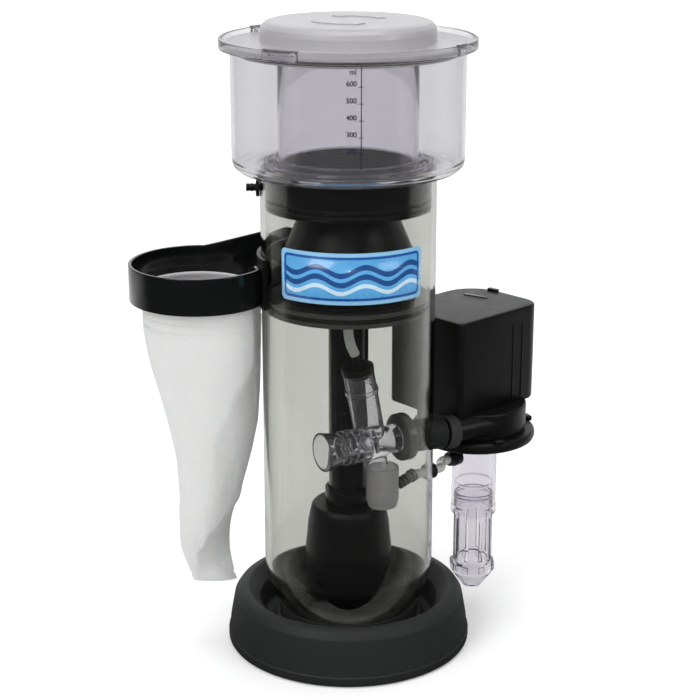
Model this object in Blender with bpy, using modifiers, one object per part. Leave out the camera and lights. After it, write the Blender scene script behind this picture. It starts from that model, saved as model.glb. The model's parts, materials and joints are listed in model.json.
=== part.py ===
"""Protein skimmer with a foam cup, a hanging filter bag and a side pump.

World axes: +X to the right, +Y away from the front, +Z up. The origin is on the
vessel's axis at floor level. Lengths are in millimetres and MM turns them into metres.
"""

import math

import bmesh
import bpy
from mathutils import Vector

MM = 0.001
GAP = 0.3

BIG_STEPS = 32
MEDIUM_STEPS = 24
LOW_STEPS = 16
SMALL_STEPS = 10

# Vessel: a tube with a round bottom that stands in the base ring.
VESSEL_R = 55.0
VESSEL_WALL = 3.0
VESSEL_BORE = VESSEL_R - VESSEL_WALL
VESSEL_TOP = 315.8
DOME_Z = 58.0
PORT_HOLE_R = 10.8
HOSE_HOLE_R = 5.6

# Base and the seat for the vessel.
BASE_R = 80.0
BASE_CREST_Z = 36.5
BASE_WELL_R = 37.0
BASE_WELL_FLOOR = 2.2
SEAT_OUTER_R = 46.0
SEAT_INNER_R = 38.0
SEAT_Z = 16.0

# Divider between the reaction chamber and the outlet chamber.
DIVIDER_BOTTOM = 227.4
DIVIDER_TOP = 235.9
DIVIDER_R = 51.7
SOCKET_BOTTOM = 219.0
SEAL_R = 51.85
FOAM_HOLES = 4
FOAM_HOLE_R = 7.0
FOAM_HOLE_CIRCLE_R = 27.0
FOAM_HOLE_AZIMUTH = 65.0
GROOVE_SIZE = (97.0, 8.0, 8.0)
GROOVE_AZIMUTH = 20.0

# Standpipe and the pot it draws from.
STANDPIPE_R = 12.8
STANDPIPE_BORE = 10.8
POT_TOP = 94.6
POT_R = 28.4
POT_WALL = 2.4
POT_MIDDLE_Z = 60.0
POT_DEPTH = 43.0
PIPE_COLLAR_R = 15.3
PIPE_COLLAR_TOP = 106.0

# Neck collar, which plugs the foam cup into the vessel.
COLLAR_R = 51.7
COLLAR_BORE = 44.5
COLLAR_BOTTOM = 292.7
COLLAR_TOP = 316.1
COLLAR_MOUTH_R = 31.6
ORING_HEIGHT = 1.6
ORING_UPPER_Z = 299.4
ORING_LOWER_Z = 295.5
PIN_AZIMUTH = -128.0
PIN_Z = 303.5
PIN_R = 1.6

# Foam cup.
CUP_R = 72.2
CUP_WALL = 2.6
CUP_BOTTOM = 316.4
CUP_FLOOR = 319.0
CUP_HOLE_R = 41.3
RISER_R = 43.5
RISER_TOP = 384.0
RIM_R = 79.0
RIM_BOTTOM = 390.8
RIM_LEDGE = 391.4
RIM_TOP = 397.1

# Lid.
LID_R = 76.4
LID_DOME_R = 53.8
LID_TOP = 406.9
LID_WALL = 2.4
LID_SKIRT_R = 67.2

# Air nipple on the left of the neck.
NIPPLE_Z = 304.1
NIPPLE_TIP_X = -63.5
NIPPLE_HOLE_R = 2.4

# Outlet window, saddle and bag holder on the left.
WINDOW_SIZE = (12.0, 26.0, 15.0)
WINDOW_Z = 247.5
SADDLE_R = 57.6
SADDLE_START = 118.0
SADDLE_END = 204.0
SADDLE_BOTTOM = 231.0
SADDLE_TOP = 263.0
RING_X = -94.0
RING_R = 42.3
STRAP_THICKNESS = 2.2
STRAP_BOTTOM = 233.0
STRAP_TOP = 256.5
STRAP_FLARE = 11.0
STRAP_FRONT_AZIMUTH = 195.0
STRAP_BACK_AZIMUTH = 125.0
STRAP_END_SPAN = 9.0
STRAP_END_R = 57.9
SCREW_HEAD_R = 2.6
SCREW_SHANK_R = 1.4
SCREW_Z = 245.0

# Label plate on the front of the vessel.
LABEL_SPAN = (-137.0, -37.0)
LABEL_HEIGHTS = (243.5, 275.5)
LABEL_THICKNESS = 0.4

# Filter bag.
BAG_WALL = 2.0
BAG_TOP = 241.0
BAG_X = -95.6
BAG_TOP_R = 35.2
BAG_BOTTOM = 38.5

# The pump, whose outlet meets the injector on one line beside the standpipe.
LINE_AZIMUTH = 30.0
LINE_START = (13.0, -22.5)
INJECTOR_Z = 143.5
OUTLET_Z = 139.5
OUTLET_S = 62.0
PUMP_AXIS = (85.7, 49.5)

# Motor housing: its front corner, plan size and the turn of its long side.
MOTOR_CORNER = (72.6, 9.4)
MOTOR_TURN = 43.5
MOTOR_LENGTH = 79.0
MOTOR_WIDTH = 64.0
MOTOR_BOTTOM = 148.3
MOTOR_TOP = 212.0
MOTOR_WALL = 2.6
MOTOR_CORNERS = {(-1, -1): 5.0, (1, -1): 12.0, (1, 1): 24.0, (-1, 1): 5.0}
CAN_R = 14.0
CAN_BORE = 12.9
CAN_TOP = 203.5
MAGNET_R = 12.2
SHAFT_R = 1.5
SHAFT_CLEARANCE = 0.05
CORE_SIZE = (44.0, 46.0, 22.0)
CORE_MIDDLE_Z = 177.0
CORE_OFFSET = 8.0
CORE_SLOT_SIZE = (16.0, 24.0, 30.0)
COIL_SIZE = (22.0, 13.0, 33.0)
COIL_HOLE_SIZE = (15.6, 20.0, 22.6)
COIL_SPACING = 12.6
LEG_SPACING = 15.0
COIL_BACK = 22.0
GLAND_SHARE = 0.53
GLAND_Z = 203.0
CABLE_R = 2.4

# Volute, cover, suction pipe and strainer, all round the pump's axis.
VOLUTE_R = 34.0
VOLUTE_BORE = 30.5
VOLUTE_BOTTOM = 129.9
VOLUTE_TOP = 147.7
STUB_R = 7.8
STUB_BORE = 5.8
COVER_R = 40.2
COVER_BOTTOM = 122.0
COVER_TOP = 129.6
SPIDER_Z = 127.0
BUSH_BOTTOM = 124.8
BUSH_TOP = 130.4
INLET_R = 10.5
IMPELLER_R = 21.5
IMPELLER_BOTTOM = 131.0
PIPE_R = 15.5
PIPE_WALL = 2.0
PIPE_TOP = 121.7
PIPE_BOTTOM = 67.0
STRAINER_R = 13.2
STRAINER_BORE = 11.4
STRAINER_TOP = 82.0
STRAINER_TIP = 10.6
STRAINER_SLOTS = 8
SLOT_SIZE = (40.0, 2.2, 30.0)
SLOT_MIDDLE_Z = 48.5

# Air intake.
CHAMBER_TOP_POINT = (6.0, -26.5, 193.0)
CHAMBER_BASE_POINT = (14.0, -22.0, 146.0)
CHAMBER_R = 9.8
INTAKE_R = 8.2
INTAKE_END_Z = 127.5
REGULATOR_CENTRE = (21.7, -17.5)
REGULATOR_R = 10.4
REGULATOR_BOTTOM = 99.0
REGULATOR_TOP = 126.0
CONNECTOR_START = (30.6, -11.8, 110.5)
CONNECTOR_END = (39.2, -6.3, 113.9)
CONNECTOR_RIBS = 3
RIB_SPACING = 2.8
GROMMET_POINT = (53.2, 3.4, 114.2)
GROMMET_AZIMUTH = 36.0
HOSE_R = 3.1
INJECTOR_R = 10.5
AIR_PORT_R = 3.0
GASKET_R = 10.4
SLEEVE_R = 10.8
SLEEVE_CLEARANCE = 1.1
ELBOW_Z = 111.0
ELBOW_R = 5.6
ELBOW_AZIMUTH = 222.0
ELBOW_REACH = 25.0


# ---------------------------------------------------------------- helpers

def clear_scene():
    for thing in list(bpy.data.objects):
        bpy.data.objects.remove(thing, do_unlink=True)


def make_collection(name):
    collection = bpy.data.collections.new(name)
    bpy.context.scene.collection.children.link(collection)
    return collection


def make_material(name, color, roughness, metallic=0.0, transmission=0.0):
    material = bpy.data.materials.new(name)
    material.use_nodes = True
    shader = material.node_tree.nodes["Principled BSDF"]
    shader.inputs["Base Color"].default_value = (*color, 1.0)
    shader.inputs["Roughness"].default_value = roughness
    shader.inputs["Metallic"].default_value = metallic
    shader.inputs["Transmission Weight"].default_value = transmission
    material.diffuse_color = (*color, 1.0)
    return material


def on_circle(azimuth, radius, centre=(0.0, 0.0)):
    angle = math.radians(azimuth)
    return centre[0] + radius * math.cos(angle), centre[1] + radius * math.sin(angle)


def arc(centre, radii, start, end, count):
    """Points on an ellipse of the given radii, from start to end degrees."""
    points = []
    for i in range(count + 1):
        angle = math.radians(start + (end - start) * i / count)
        points.append((centre[0] + radii[0] * math.cos(angle), centre[1] + radii[1] * math.sin(angle)))
    return points


def ring(outer, inner, top, bottom):
    """A plain tube's profile."""
    return [(outer, top), (outer, bottom), (inner, bottom), (inner, top)]


def disc(radius, top, bottom):
    """A plain cylinder's profile."""
    return [(0.0, top), (radius, top), (radius, bottom), (0.0, bottom)]


def add_object(name, data, material=None):
    """Put a mesh or a curve in the parts, or, without a material, in the cutters."""
    thing = bpy.data.objects.new(name, data)
    if material is None:
        cutters.objects.link(thing)
        thing.hide_render = True
        thing.display_type = "WIRE"
    else:
        parts.objects.link(thing)
        data.materials.append(material)
    return thing


def aim(thing, place, along=(0, 0, 1)):
    """Set an object's origin in millimetres and turn its +Z to a direction."""
    thing.location = Vector(place) * MM
    thing.rotation_mode = "QUATERNION"
    thing.rotation_quaternion = Vector(along).to_track_quat("Z", "Y")


def turned(name, profile, material=None, place=(0, 0, 0), along=(0, 0, 1), steps=BIG_STEPS):
    """Turn a profile of (radius, height) pairs that runs down its outer side."""
    points = [(radius * MM, 0.0, height * MM) for radius, height in profile]
    edges = [(i, i + 1) for i in range(len(points) - 1)]
    if profile[0][0] > 0:
        edges.append((len(points) - 1, 0))
    mesh = bpy.data.meshes.new(name)
    mesh.from_pydata(points, edges, [])
    thing = add_object(name, mesh, material)
    screw = thing.modifiers.new("turn", "SCREW")
    screw.axis = "Z"
    screw.angle = math.tau
    screw.steps = steps
    screw.render_steps = steps
    screw.use_merge_vertices = True
    screw.merge_threshold = 0.00001
    screw.use_smooth_shade = True
    aim(thing, place, along)
    return thing


def rod(name, radius, start, end, material=None, steps=SMALL_STEPS):
    """A cylinder between two points."""
    axis = Vector(end) - Vector(start)
    return turned(name, disc(radius, axis.length, 0.0), material, start, axis, steps)


def block_mesh(name, size, corner_radii=None):
    """A box mesh about its centre, with a radius on each upright edge."""
    shape = bmesh.new()
    bmesh.ops.create_cube(shape, size=1.0)
    bmesh.ops.scale(shape, vec=Vector(size) * MM, verts=shape.verts)
    for (sign_x, sign_y), radius in (corner_radii or {}).items():
        edges = [edge for edge in shape.edges if is_upright_at(edge, sign_x, sign_y)]
        bmesh.ops.bevel(shape, geom=edges, offset=radius * MM, segments=5, profile=0.5,
                        affect="EDGES", offset_type="OFFSET")
    mesh = bpy.data.meshes.new(name)
    shape.to_mesh(mesh)
    shape.free()
    return mesh


def is_upright_at(edge, sign_x, sign_y):
    """Whether an edge stands upright at the box corner with the given signs."""
    one, two = (vert.co for vert in edge.verts)
    upright = (one.xy - two.xy).length < 1e-7
    return upright and one.x * sign_x > 0 and one.y * sign_y > 0


def block(name, size, place, material=None, turn=0.0, corner_radii=None):
    thing = add_object(name, block_mesh(name, size, corner_radii), material)
    thing.location = Vector(place) * MM
    thing.rotation_euler.z = math.radians(turn)
    return thing


def combine(target, tool, operation="DIFFERENCE"):
    """Cut a tool from a part, or join it on with UNION."""
    step = target.modifiers.new(tool.name, "BOOLEAN")
    step.object = tool
    step.operation = operation
    step.solver = "EXACT"


def edge_round(thing, width, segments=2):
    step = thing.modifiers.new("edges", "BEVEL")
    step.width = width * MM
    step.segments = segments
    step.limit_method = "ANGLE"
    step.angle_limit = math.radians(50)


def hose(name, points, radius, material):
    """A round hose along a smooth curve through points."""
    curve = bpy.data.curves.new(name, "CURVE")
    curve.dimensions = "3D"
    curve.bevel_depth = radius * MM
    curve.bevel_resolution = 1
    curve.resolution_u = 3
    curve.use_fill_caps = True
    spline = curve.splines.new("BEZIER")
    spline.bezier_points.add(len(points) - 1)
    for knot, point in zip(spline.bezier_points, points):
        knot.co = Vector(point) * MM
        knot.handle_left_type = "AUTO"
        knot.handle_right_type = "AUTO"
    return add_object(name, curve, material)


def wall(name, path, thickness, material, side=-1.0):
    """An upright wall along a path of (x, y, bottom, top), thickened to its left, or to
    its right where side is 1."""
    shape = bmesh.new()
    columns = []
    for x, y, bottom, top in path:
        low = shape.verts.new(Vector((x, y, bottom)) * MM)
        high = shape.verts.new(Vector((x, y, top)) * MM)
        columns.append((low, high))
    for (low, high), (next_low, next_high) in zip(columns, columns[1:]):
        shape.faces.new((low, next_low, next_high, high))
    mesh = bpy.data.meshes.new(name)
    shape.to_mesh(mesh)
    shape.free()
    mesh.shade_smooth()
    thing = add_object(name, mesh, material)
    step = thing.modifiers.new("thickness", "SOLIDIFY")
    step.thickness = thickness * MM
    step.offset = side
    return thing


def curved_plate(name, radius, span, heights, thickness, material, steps=12):
    """A plate bent round the vessel's axis on an inner radius, from azimuth span[0] to span[1]."""
    path = []
    for i in range(steps + 1):
        x, y = on_circle(span[0] + (span[1] - span[0]) * i / steps, radius)
        path.append((x, y, heights[0], heights[1]))
    return wall(name, path, thickness, material, side=1.0)


def line_point(s, z):
    """The point at distance s along the line that the injector and pump outlet share."""
    x, y = on_circle(LINE_AZIMUTH, s, LINE_START)
    return x, y, z


def line_axis():
    """The injector line's direction, level."""
    x, y = on_circle(LINE_AZIMUTH, 1.0)
    return Vector((x, y, 0.0))


# ---------------------------------------------------------------- base and vessel

def build_base():
    profile = [(0.0, BASE_WELL_FLOOR), (BASE_WELL_R, BASE_WELL_FLOOR), (BASE_WELL_R, SEAT_Z),
               (48.0, SEAT_Z), (50.0, 13.0), (56.0, 13.0), (58.6, 28.0), (67.0, BASE_CREST_Z),
               (72.6, 35.0), (75.6, 30.5), (78.4, 15.0), (79.3, 6.8), (BASE_R, 6.4),
               (BASE_R, 0.0), (0.0, 0.0)]
    turned("weighted_base", profile, base_black)


def build_seat():
    """The wedge ring that carries the vessel's round bottom."""
    def dome_z(radius):
        return DOME_Z - math.sqrt((VESSEL_R + GAP) ** 2 - radius ** 2)
    middle = (SEAT_OUTER_R + SEAT_INNER_R) / 2
    profile = [(SEAT_OUTER_R, dome_z(SEAT_OUTER_R)), (SEAT_OUTER_R, SEAT_Z + GAP),
               (SEAT_INNER_R, SEAT_Z + GAP), (SEAT_INNER_R, dome_z(SEAT_INNER_R) - GAP),
               (middle, dome_z(middle) - GAP)]
    turned("vessel_seat_ring", profile, rubber_grey)


def build_vessel():
    inner = arc((0.0, DOME_Z), (VESSEL_BORE, VESSEL_BORE), -90.0, 0.0, 6)
    outer = arc((0.0, DOME_Z), (VESSEL_R, VESSEL_R), 0.0, -90.0, 6)
    inner[0] = (0.0, inner[0][1])
    outer[-1] = (0.0, outer[-1][1])
    profile = inner + [(VESSEL_BORE, VESSEL_TOP), (VESSEL_R, VESSEL_TOP)] + outer
    vessel = turned("reactor_vessel", profile, clear_acrylic)
    combine(vessel, block("outlet_window", WINDOW_SIZE, (-VESSEL_R, 0, WINDOW_Z)))
    combine(vessel, rod("nipple_hole", NIPPLE_HOLE_R, (-60, 0, NIPPLE_Z), (-48, 0, NIPPLE_Z)))
    start, end = port_axis(34.0), port_axis(58.0)
    combine(vessel, rod("port_hole", PORT_HOLE_R, start, end, steps=LOW_STEPS))
    start, end = grommet_ends(9.0)
    combine(vessel, rod("hose_hole", HOSE_HOLE_R, start, end))


def build_label():
    curved_plate("front_label", VESSEL_R + GAP, LABEL_SPAN, LABEL_HEIGHTS, LABEL_THICKNESS,
                 label_blue)


# ---------------------------------------------------------------- inside the vessel

def build_divider():
    profile = [(DIVIDER_R, DIVIDER_TOP), (DIVIDER_R, 233.0), (49.3, 233.0), (49.3, 230.3),
               (DIVIDER_R, 230.3), (DIVIDER_R, DIVIDER_BOTTOM), (21.0, DIVIDER_BOTTOM),
               (20.0, 225.0), (15.6, SOCKET_BOTTOM), (STANDPIPE_R + GAP, SOCKET_BOTTOM),
               (STANDPIPE_R + GAP, 229.0), (STANDPIPE_BORE, 229.0), (STANDPIPE_BORE, DIVIDER_TOP)]
    divider = turned("divider_plate", profile, smoke_grey)
    through = disc(FOAM_HOLE_R, DIVIDER_TOP + 4.0, DIVIDER_BOTTOM - 7.0)
    for i in range(FOAM_HOLES):
        azimuth = FOAM_HOLE_AZIMUTH + 360.0 / FOAM_HOLES * i
        place = (*on_circle(azimuth, FOAM_HOLE_CIRCLE_R), 0)
        combine(divider, turned(f"foam_hole_{i + 1}", through, place=place, steps=SMALL_STEPS))
    for i in range(2):
        groove = block(f"water_groove_{i + 1}", GROOVE_SIZE, (0, 0, DIVIDER_TOP),
                       turn=GROOVE_AZIMUTH + 90.0 * i)
        combine(divider, groove)
    combine(divider, rod("air_hole", HOSE_R + GAP, (0, -31, 220), (0, -31, 232)))
    turned("divider_seal", ring(SEAL_R, 49.6, 232.7, 230.6), rubber_black)


def build_standpipe():
    turned("standpipe", ring(STANDPIPE_R, STANDPIPE_BORE, 228.7, POT_TOP + GAP), gloss_black,
           steps=MEDIUM_STEPS)
    collar = ring(PIPE_COLLAR_R, STANDPIPE_R + GAP, PIPE_COLLAR_TOP, POT_TOP + GAP)
    turned("standpipe_collar", collar, gloss_black, steps=MEDIUM_STEPS)
    outer = arc((0.0, POT_MIDDLE_Z), (POT_R, POT_DEPTH), 12.0, -75.0, 6)
    inner = arc((0.0, POT_MIDDLE_Z), (POT_R - POT_WALL, POT_DEPTH - POT_WALL), -75.0, 12.0, 6)
    profile = [(24.0, POT_TOP), (25.6, 86.0)] + outer + inner
    profile += [(23.1, 86.0), (22.0, 92.2), (STANDPIPE_BORE, 92.2), (STANDPIPE_BORE, POT_TOP)]
    turned("flow_pot", profile, satin_black, steps=MEDIUM_STEPS)


def build_foam_bell():
    profile = [(31.2, 292.2), (31.2, 287.5), (42.0, 262.0), (42.0, DIVIDER_TOP + GAP),
               (39.8, DIVIDER_TOP + GAP), (39.8, 261.5), (29.0, 287.0), (29.0, 292.2)]
    turned("foam_bell", profile, satin_black)


# ---------------------------------------------------------------- cup and lid

def build_neck():
    groove_r = COLLAR_R - 1.5
    profile = [(COLLAR_R, COLLAR_TOP)]
    for centre in (ORING_UPPER_Z, ORING_LOWER_Z):
        high = centre + ORING_HEIGHT / 2 + GAP
        low = centre - ORING_HEIGHT / 2 - GAP
        profile += [(COLLAR_R, high), (groove_r, high), (groove_r, low), (COLLAR_R, low)]
    profile += [(COLLAR_R, COLLAR_BOTTOM), (COLLAR_MOUTH_R, COLLAR_BOTTOM),
                (COLLAR_MOUTH_R, 295.3), (COLLAR_BORE, 295.3), (COLLAR_BORE, COLLAR_TOP)]
    collar = turned("neck_collar", profile, gloss_black)
    for name, centre in (("neck_oring_upper", ORING_UPPER_Z), ("neck_oring_lower", ORING_LOWER_Z)):
        half = ORING_HEIGHT / 2
        turned(name, ring(SEAL_R, groove_r + 0.2, centre + half, centre - half), rubber_black)
    tip = Vector((*on_circle(PIN_AZIMUTH, COLLAR_R - 0.4), PIN_Z))
    root = Vector((*on_circle(PIN_AZIMUTH, COLLAR_BORE + 1.0), PIN_Z))
    outward = (tip - root).normalized()
    combine(collar, rod("pin_hole", PIN_R + GAP, root - outward * GAP, tip + outward * 5.0))
    rod("collar_pin", PIN_R, root, tip, steel)


def build_cup():
    corner = arc((65.4, 323.2), (CUP_R - 65.4, 6.8), 0.0, -90.0, 3)
    inner_corner = arc((64.2, 324.4), (CUP_R - CUP_WALL - 64.2, 5.4), -90.0, 0.0, 3)
    profile = [(RIM_R, RIM_TOP), (RIM_R, RIM_BOTTOM), (CUP_R, 389.6)] + corner
    profile += [(CUP_HOLE_R, CUP_BOTTOM), (CUP_HOLE_R, CUP_FLOOR)] + inner_corner
    profile += [(CUP_R - CUP_WALL, RIM_LEDGE), (RIM_R - 2.0, RIM_LEDGE), (RIM_R - 2.0, RIM_TOP)]
    turned("cup_outer", profile, clear_lavender)
    turned("cup_riser", ring(RISER_R, CUP_HOLE_R, RISER_TOP, CUP_FLOOR + GAP), clear_lavender)


def build_lid():
    floor = RIM_LEDGE + GAP
    top_corner = arc((47.8, 400.9), (6.0, 6.0), 90.0, 0.0, 3)
    inner_corner = arc((47.8, 400.9), (6.0 - LID_WALL, 6.0 - LID_WALL), 0.0, 90.0, 3)
    profile = [(0.0, LID_TOP)] + top_corner + [(LID_DOME_R, floor + LID_WALL)]
    profile += [(LID_R, floor + LID_WALL), (LID_R, floor), (LID_SKIRT_R, floor), (LID_SKIRT_R, 387.0)]
    profile += [(LID_SKIRT_R - 1.8, 387.0), (LID_SKIRT_R - 1.8, floor), (LID_DOME_R - LID_WALL, floor)]
    profile += inner_corner + [(0.0, LID_TOP - LID_WALL)]
    turned("lid", profile, frosted)
    turned("lid_seal", ring(69.0, LID_SKIRT_R + GAP, 390.6, 388.6), rubber_black)


# ---------------------------------------------------------------- air side

def build_nipple():
    """A barbed nipple whose flange sits on the vessel's left side."""
    flange_x = -VESSEL_R - GAP
    reach = flange_x - NIPPLE_TIP_X
    profile = [(1.1, reach), (2.2, reach), (2.6, reach - 1.4), (2.1, reach - 1.6),
               (2.6, reach - 4.0), (2.2, reach - 4.2), (2.2, 2.0), (5.7, 2.0), (5.7, 0.0),
               (2.1, 0.0), (2.1, -3.0), (1.1, -3.0)]
    turned("air_nipple", profile, satin_black, (flange_x, 0, NIPPLE_Z), (-1, 0, 0), SMALL_STEPS)


def chamber_point(z):
    """The point at a height on the inclined axis of the air chamber."""
    top, base = Vector(CHAMBER_TOP_POINT), Vector(CHAMBER_BASE_POINT)
    return base + (top - base) * ((z - base.z) / (top.z - base.z))


def build_air_chamber():
    top, base = chamber_point(192.0), chamber_point(146.0)
    axis = top - base
    saddle_start = Vector(line_point(-24.0, INJECTOR_Z))
    saddle_end = Vector(line_point(24.0, INJECTOR_Z))
    saddle = rod("injector_saddle", INJECTOR_R + GAP, saddle_start, saddle_end, steps=LOW_STEPS)
    chamber = turned("air_chamber", ring(CHAMBER_R, CHAMBER_R - 1.6, axis.length, 0.0),
                     clear_lavender, base, axis, MEDIUM_STEPS)
    combine(chamber, saddle)
    cap = [(1.2, 11.0), (2.2, 11.0), (2.7, 9.4), (2.1, 9.2), (2.1, 4.5), (CHAMBER_R + 0.4, 4.5),
           (CHAMBER_R + 0.4, GAP), (CHAMBER_R - 2.0, GAP), (CHAMBER_R - 2.0, -3.0),
           (CHAMBER_R - 3.6, -3.0), (CHAMBER_R - 3.6, 2.5), (1.2, 2.5)]
    turned("air_chamber_cap", cap, satin_black, top, axis, LOW_STEPS)
    end = chamber_point(INTAKE_END_Z)
    downward = chamber_point(140.0) - end
    intake = turned("intake_tube", ring(INTAKE_R, INTAKE_R - 1.4, downward.length, 0.0),
                    clear_lavender, end, downward, LOW_STEPS)
    combine(intake, saddle)
    tip = top + axis.normalized() * 12.4
    hose("air_hose", [tip, (1.5, -29.5, 211.0), (0.0, -31.0, 220.0), (0.0, -31.0, 231.6)],
         HOSE_R, milky_hose)


def build_injector():
    axis = line_axis()
    start = line_point(0.0, INJECTOR_Z)
    body = [(10.0, 20.5), (8.6, 14.0), (INJECTOR_R, 8.0), (INJECTOR_R, -8.0), (9.0, -20.0),
            (7.2, -20.0), (6.2, -2.0), (4.4, 6.0), (6.4, 20.5)]
    injector = turned("injector_body", body, clear_lavender, start, axis, LOW_STEPS)
    combine(injector, rod("air_port", AIR_PORT_R, chamber_point(146.0), chamber_point(160.0)))
    combine(injector, rod("mix_port", AIR_PORT_R, chamber_point(128.0), chamber_point(141.0)))
    bell = [(9.2, -20.0 - GAP), (10.4, -25.0), (12.2, -31.0), (12.5, -34.0),
            (11.2, -34.0), (10.8, -31.0), (9.0, -25.0), (7.4, -20.0 - GAP)]
    turned("injector_bell", bell, clear_lavender, start, axis, LOW_STEPS)
    socket = [(12.5, 29.8), (15.4, 27.0), (15.4, 21.5), (11.5, 20.5 + GAP),
              (7.0, 20.5 + GAP), (7.0, 24.0), (8.6, 24.0), (8.6, 29.8)]
    turned("injector_socket", socket, smoke_grey, start, axis, LOW_STEPS)


def port_axis(s):
    """A point on the slightly sloping axis between the injector and the pump outlet."""
    socket_s = 24.0 + GAP
    share = (s - socket_s) / (OUTLET_S - socket_s)
    return Vector(line_point(s, INJECTOR_Z + (OUTLET_Z - INJECTOR_Z) * share))


def sleeve_along_port(name, radii, span, material):
    """A tube on the port's axis, over a span of distances along the injector line."""
    start, end = port_axis(span[0]), port_axis(span[1])
    axis = end - start
    turned(name, ring(*radii, axis.length, 0.0), material, start, axis, LOW_STEPS)


def build_port():
    sleeve_along_port("port_pipe", (STUB_R, STUB_BORE), (31.0, OUTLET_S - 1.4), gloss_black)
    sleeve_along_port("port_gasket", (GASKET_R, STUB_R + GAP), (36.0, 54.5), rubber_black)
    sleeve_along_port("coupling_sleeve", (SLEEVE_R, STUB_R + SLEEVE_CLEARANCE), (56.5, 64.5),
                      rubber_grey)


def grommet_ends(half):
    """The two ends of a span of the hose's passage through the vessel wall."""
    x, y = on_circle(GROMMET_AZIMUTH, half)
    middle = Vector(GROMMET_POINT)
    return middle - Vector((x, y, 0)), middle + Vector((x, y, 0))


def build_regulator():
    place = (*REGULATOR_CENTRE, 0)
    cup = [(REGULATOR_R, REGULATOR_TOP), (REGULATOR_R, 104.0), (9.0, REGULATOR_BOTTOM),
           (0.0, REGULATOR_BOTTOM)]
    inside = [(0.0, REGULATOR_BOTTOM + 1.6), (8.0, REGULATOR_BOTTOM + 1.6), (8.9, 104.5),
              (8.9, REGULATOR_TOP)]
    turned("regulator_cup", inside + cup, frosted, place, steps=LOW_STEPS)
    start, end = Vector(CONNECTOR_START), Vector(CONNECTOR_END)
    start += (end - start).normalized() * 1.2
    length = (end - start).length
    ribs = [(1.4, length), (2.0, length)]
    for i in range(CONNECTOR_RIBS):
        high = length - 1.5 - i * RIB_SPACING
        ribs += [(3.8, high), (3.8, high - 1.7), (2.4, high - 1.9)]
    ribs += [(2.4, 0.0), (1.4, 0.0)]
    turned("hose_connector", ribs, smoke_grey, start, end - start, SMALL_STEPS)


def build_suction_hose():
    low, high = grommet_ends(3.0)
    reach = (high - low).length
    turned("hose_grommet", ring(HOSE_HOLE_R - 0.4, HOSE_R + 0.5, reach, 0.0), rubber_black, low,
           high - low, SMALL_STEPS)
    before, after = grommet_ends(4.0)
    bend = grommet_ends(8.0)[1]
    elbow_x, elbow_y = on_circle(ELBOW_AZIMUTH, ELBOW_REACH + 2 * GAP, PUMP_AXIS)
    end = Vector(CONNECTOR_END)
    along = (end - Vector(CONNECTOR_START)).normalized()
    turn_x, turn_y = on_circle(ELBOW_AZIMUTH, ELBOW_REACH + 6.0, PUMP_AXIS)
    path = [end + along * 0.4, end + along * 3.0, before, after, bend, (61.5, 18.0, 112.4),
            (turn_x, turn_y, ELBOW_Z + 0.3), (elbow_x, elbow_y, ELBOW_Z)]
    hose("suction_hose", path, HOSE_R, milky_hose)
    inward = Vector((*on_circle(ELBOW_AZIMUTH + 180.0, 1.0), 0))
    body = [(1.6, ELBOW_REACH - PIPE_R - GAP), (ELBOW_R, ELBOW_REACH - PIPE_R - GAP),
            (ELBOW_R, 3.4), (ELBOW_R - 0.8, 2.6), (ELBOW_R - 0.8, 0.0), (1.6, 0.0)]
    place = (*on_circle(ELBOW_AZIMUTH, ELBOW_REACH, PUMP_AXIS), ELBOW_Z)
    turned("suction_elbow", body, gloss_black, place, inward, SMALL_STEPS)


# ---------------------------------------------------------------- pump

def motor_frame(along, across, z):
    """A point in the motor's plan, measured from its front corner."""
    x, y = on_circle(MOTOR_TURN, along, MOTOR_CORNER)
    x, y = on_circle(MOTOR_TURN + 90.0, across, (x, y))
    return x, y, z


def gland_axis():
    """Where the cable leaves the back of the housing, and its outward direction."""
    point = Vector(motor_frame(MOTOR_LENGTH * GLAND_SHARE, MOTOR_WIDTH, GLAND_Z))
    return point, Vector((*on_circle(MOTOR_TURN + 90.0, 1.0), 0))


def build_motor():
    middle_z = (MOTOR_BOTTOM + MOTOR_TOP) / 2
    centre = motor_frame(MOTOR_LENGTH / 2, MOTOR_WIDTH / 2, middle_z)
    housing = block("motor_housing", (MOTOR_LENGTH, MOTOR_WIDTH, MOTOR_TOP - MOTOR_BOTTOM), centre,
                    satin_black, MOTOR_TURN, MOTOR_CORNERS)
    edge_round(housing, 1.6)
    inner_radii = {corner: radius - 1.5 for corner, radius in MOTOR_CORNERS.items()}
    inside = (MOTOR_LENGTH - 2 * MOTOR_WALL, MOTOR_WIDTH - 2 * MOTOR_WALL)
    inner_z = middle_z - MOTOR_WALL
    cavity = block("motor_cavity", (*inside, MOTOR_TOP - MOTOR_BOTTOM), (*centre[:2], inner_z),
                   turn=MOTOR_TURN, corner_radii=inner_radii)
    combine(housing, cavity)
    gland, outward = gland_axis()
    combine(housing, rod("gland_hole", 4.2, gland - outward * 6.0, gland + outward * 4.0))
    plate_size = (inside[0] - 2 * GAP, inside[1] - 2 * GAP, 2.4)
    plate = block("rotor_can", plate_size, (*centre[:2], MOTOR_BOTTOM + 1.5), satin_black,
                  MOTOR_TURN, {corner: radius - 1.7 for corner, radius in MOTOR_CORNERS.items()})
    place = (*PUMP_AXIS, 0)
    tube = turned("can_tube", disc(CAN_R, CAN_TOP, MOTOR_BOTTOM + 0.8), place=place, steps=LOW_STEPS)
    bore = turned("can_bore", disc(CAN_BORE, CAN_TOP - 1.3, MOTOR_BOTTOM - 2.0), place=place,
                  steps=LOW_STEPS)
    combine(plate, tube, "UNION")
    combine(plate, bore)


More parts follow.
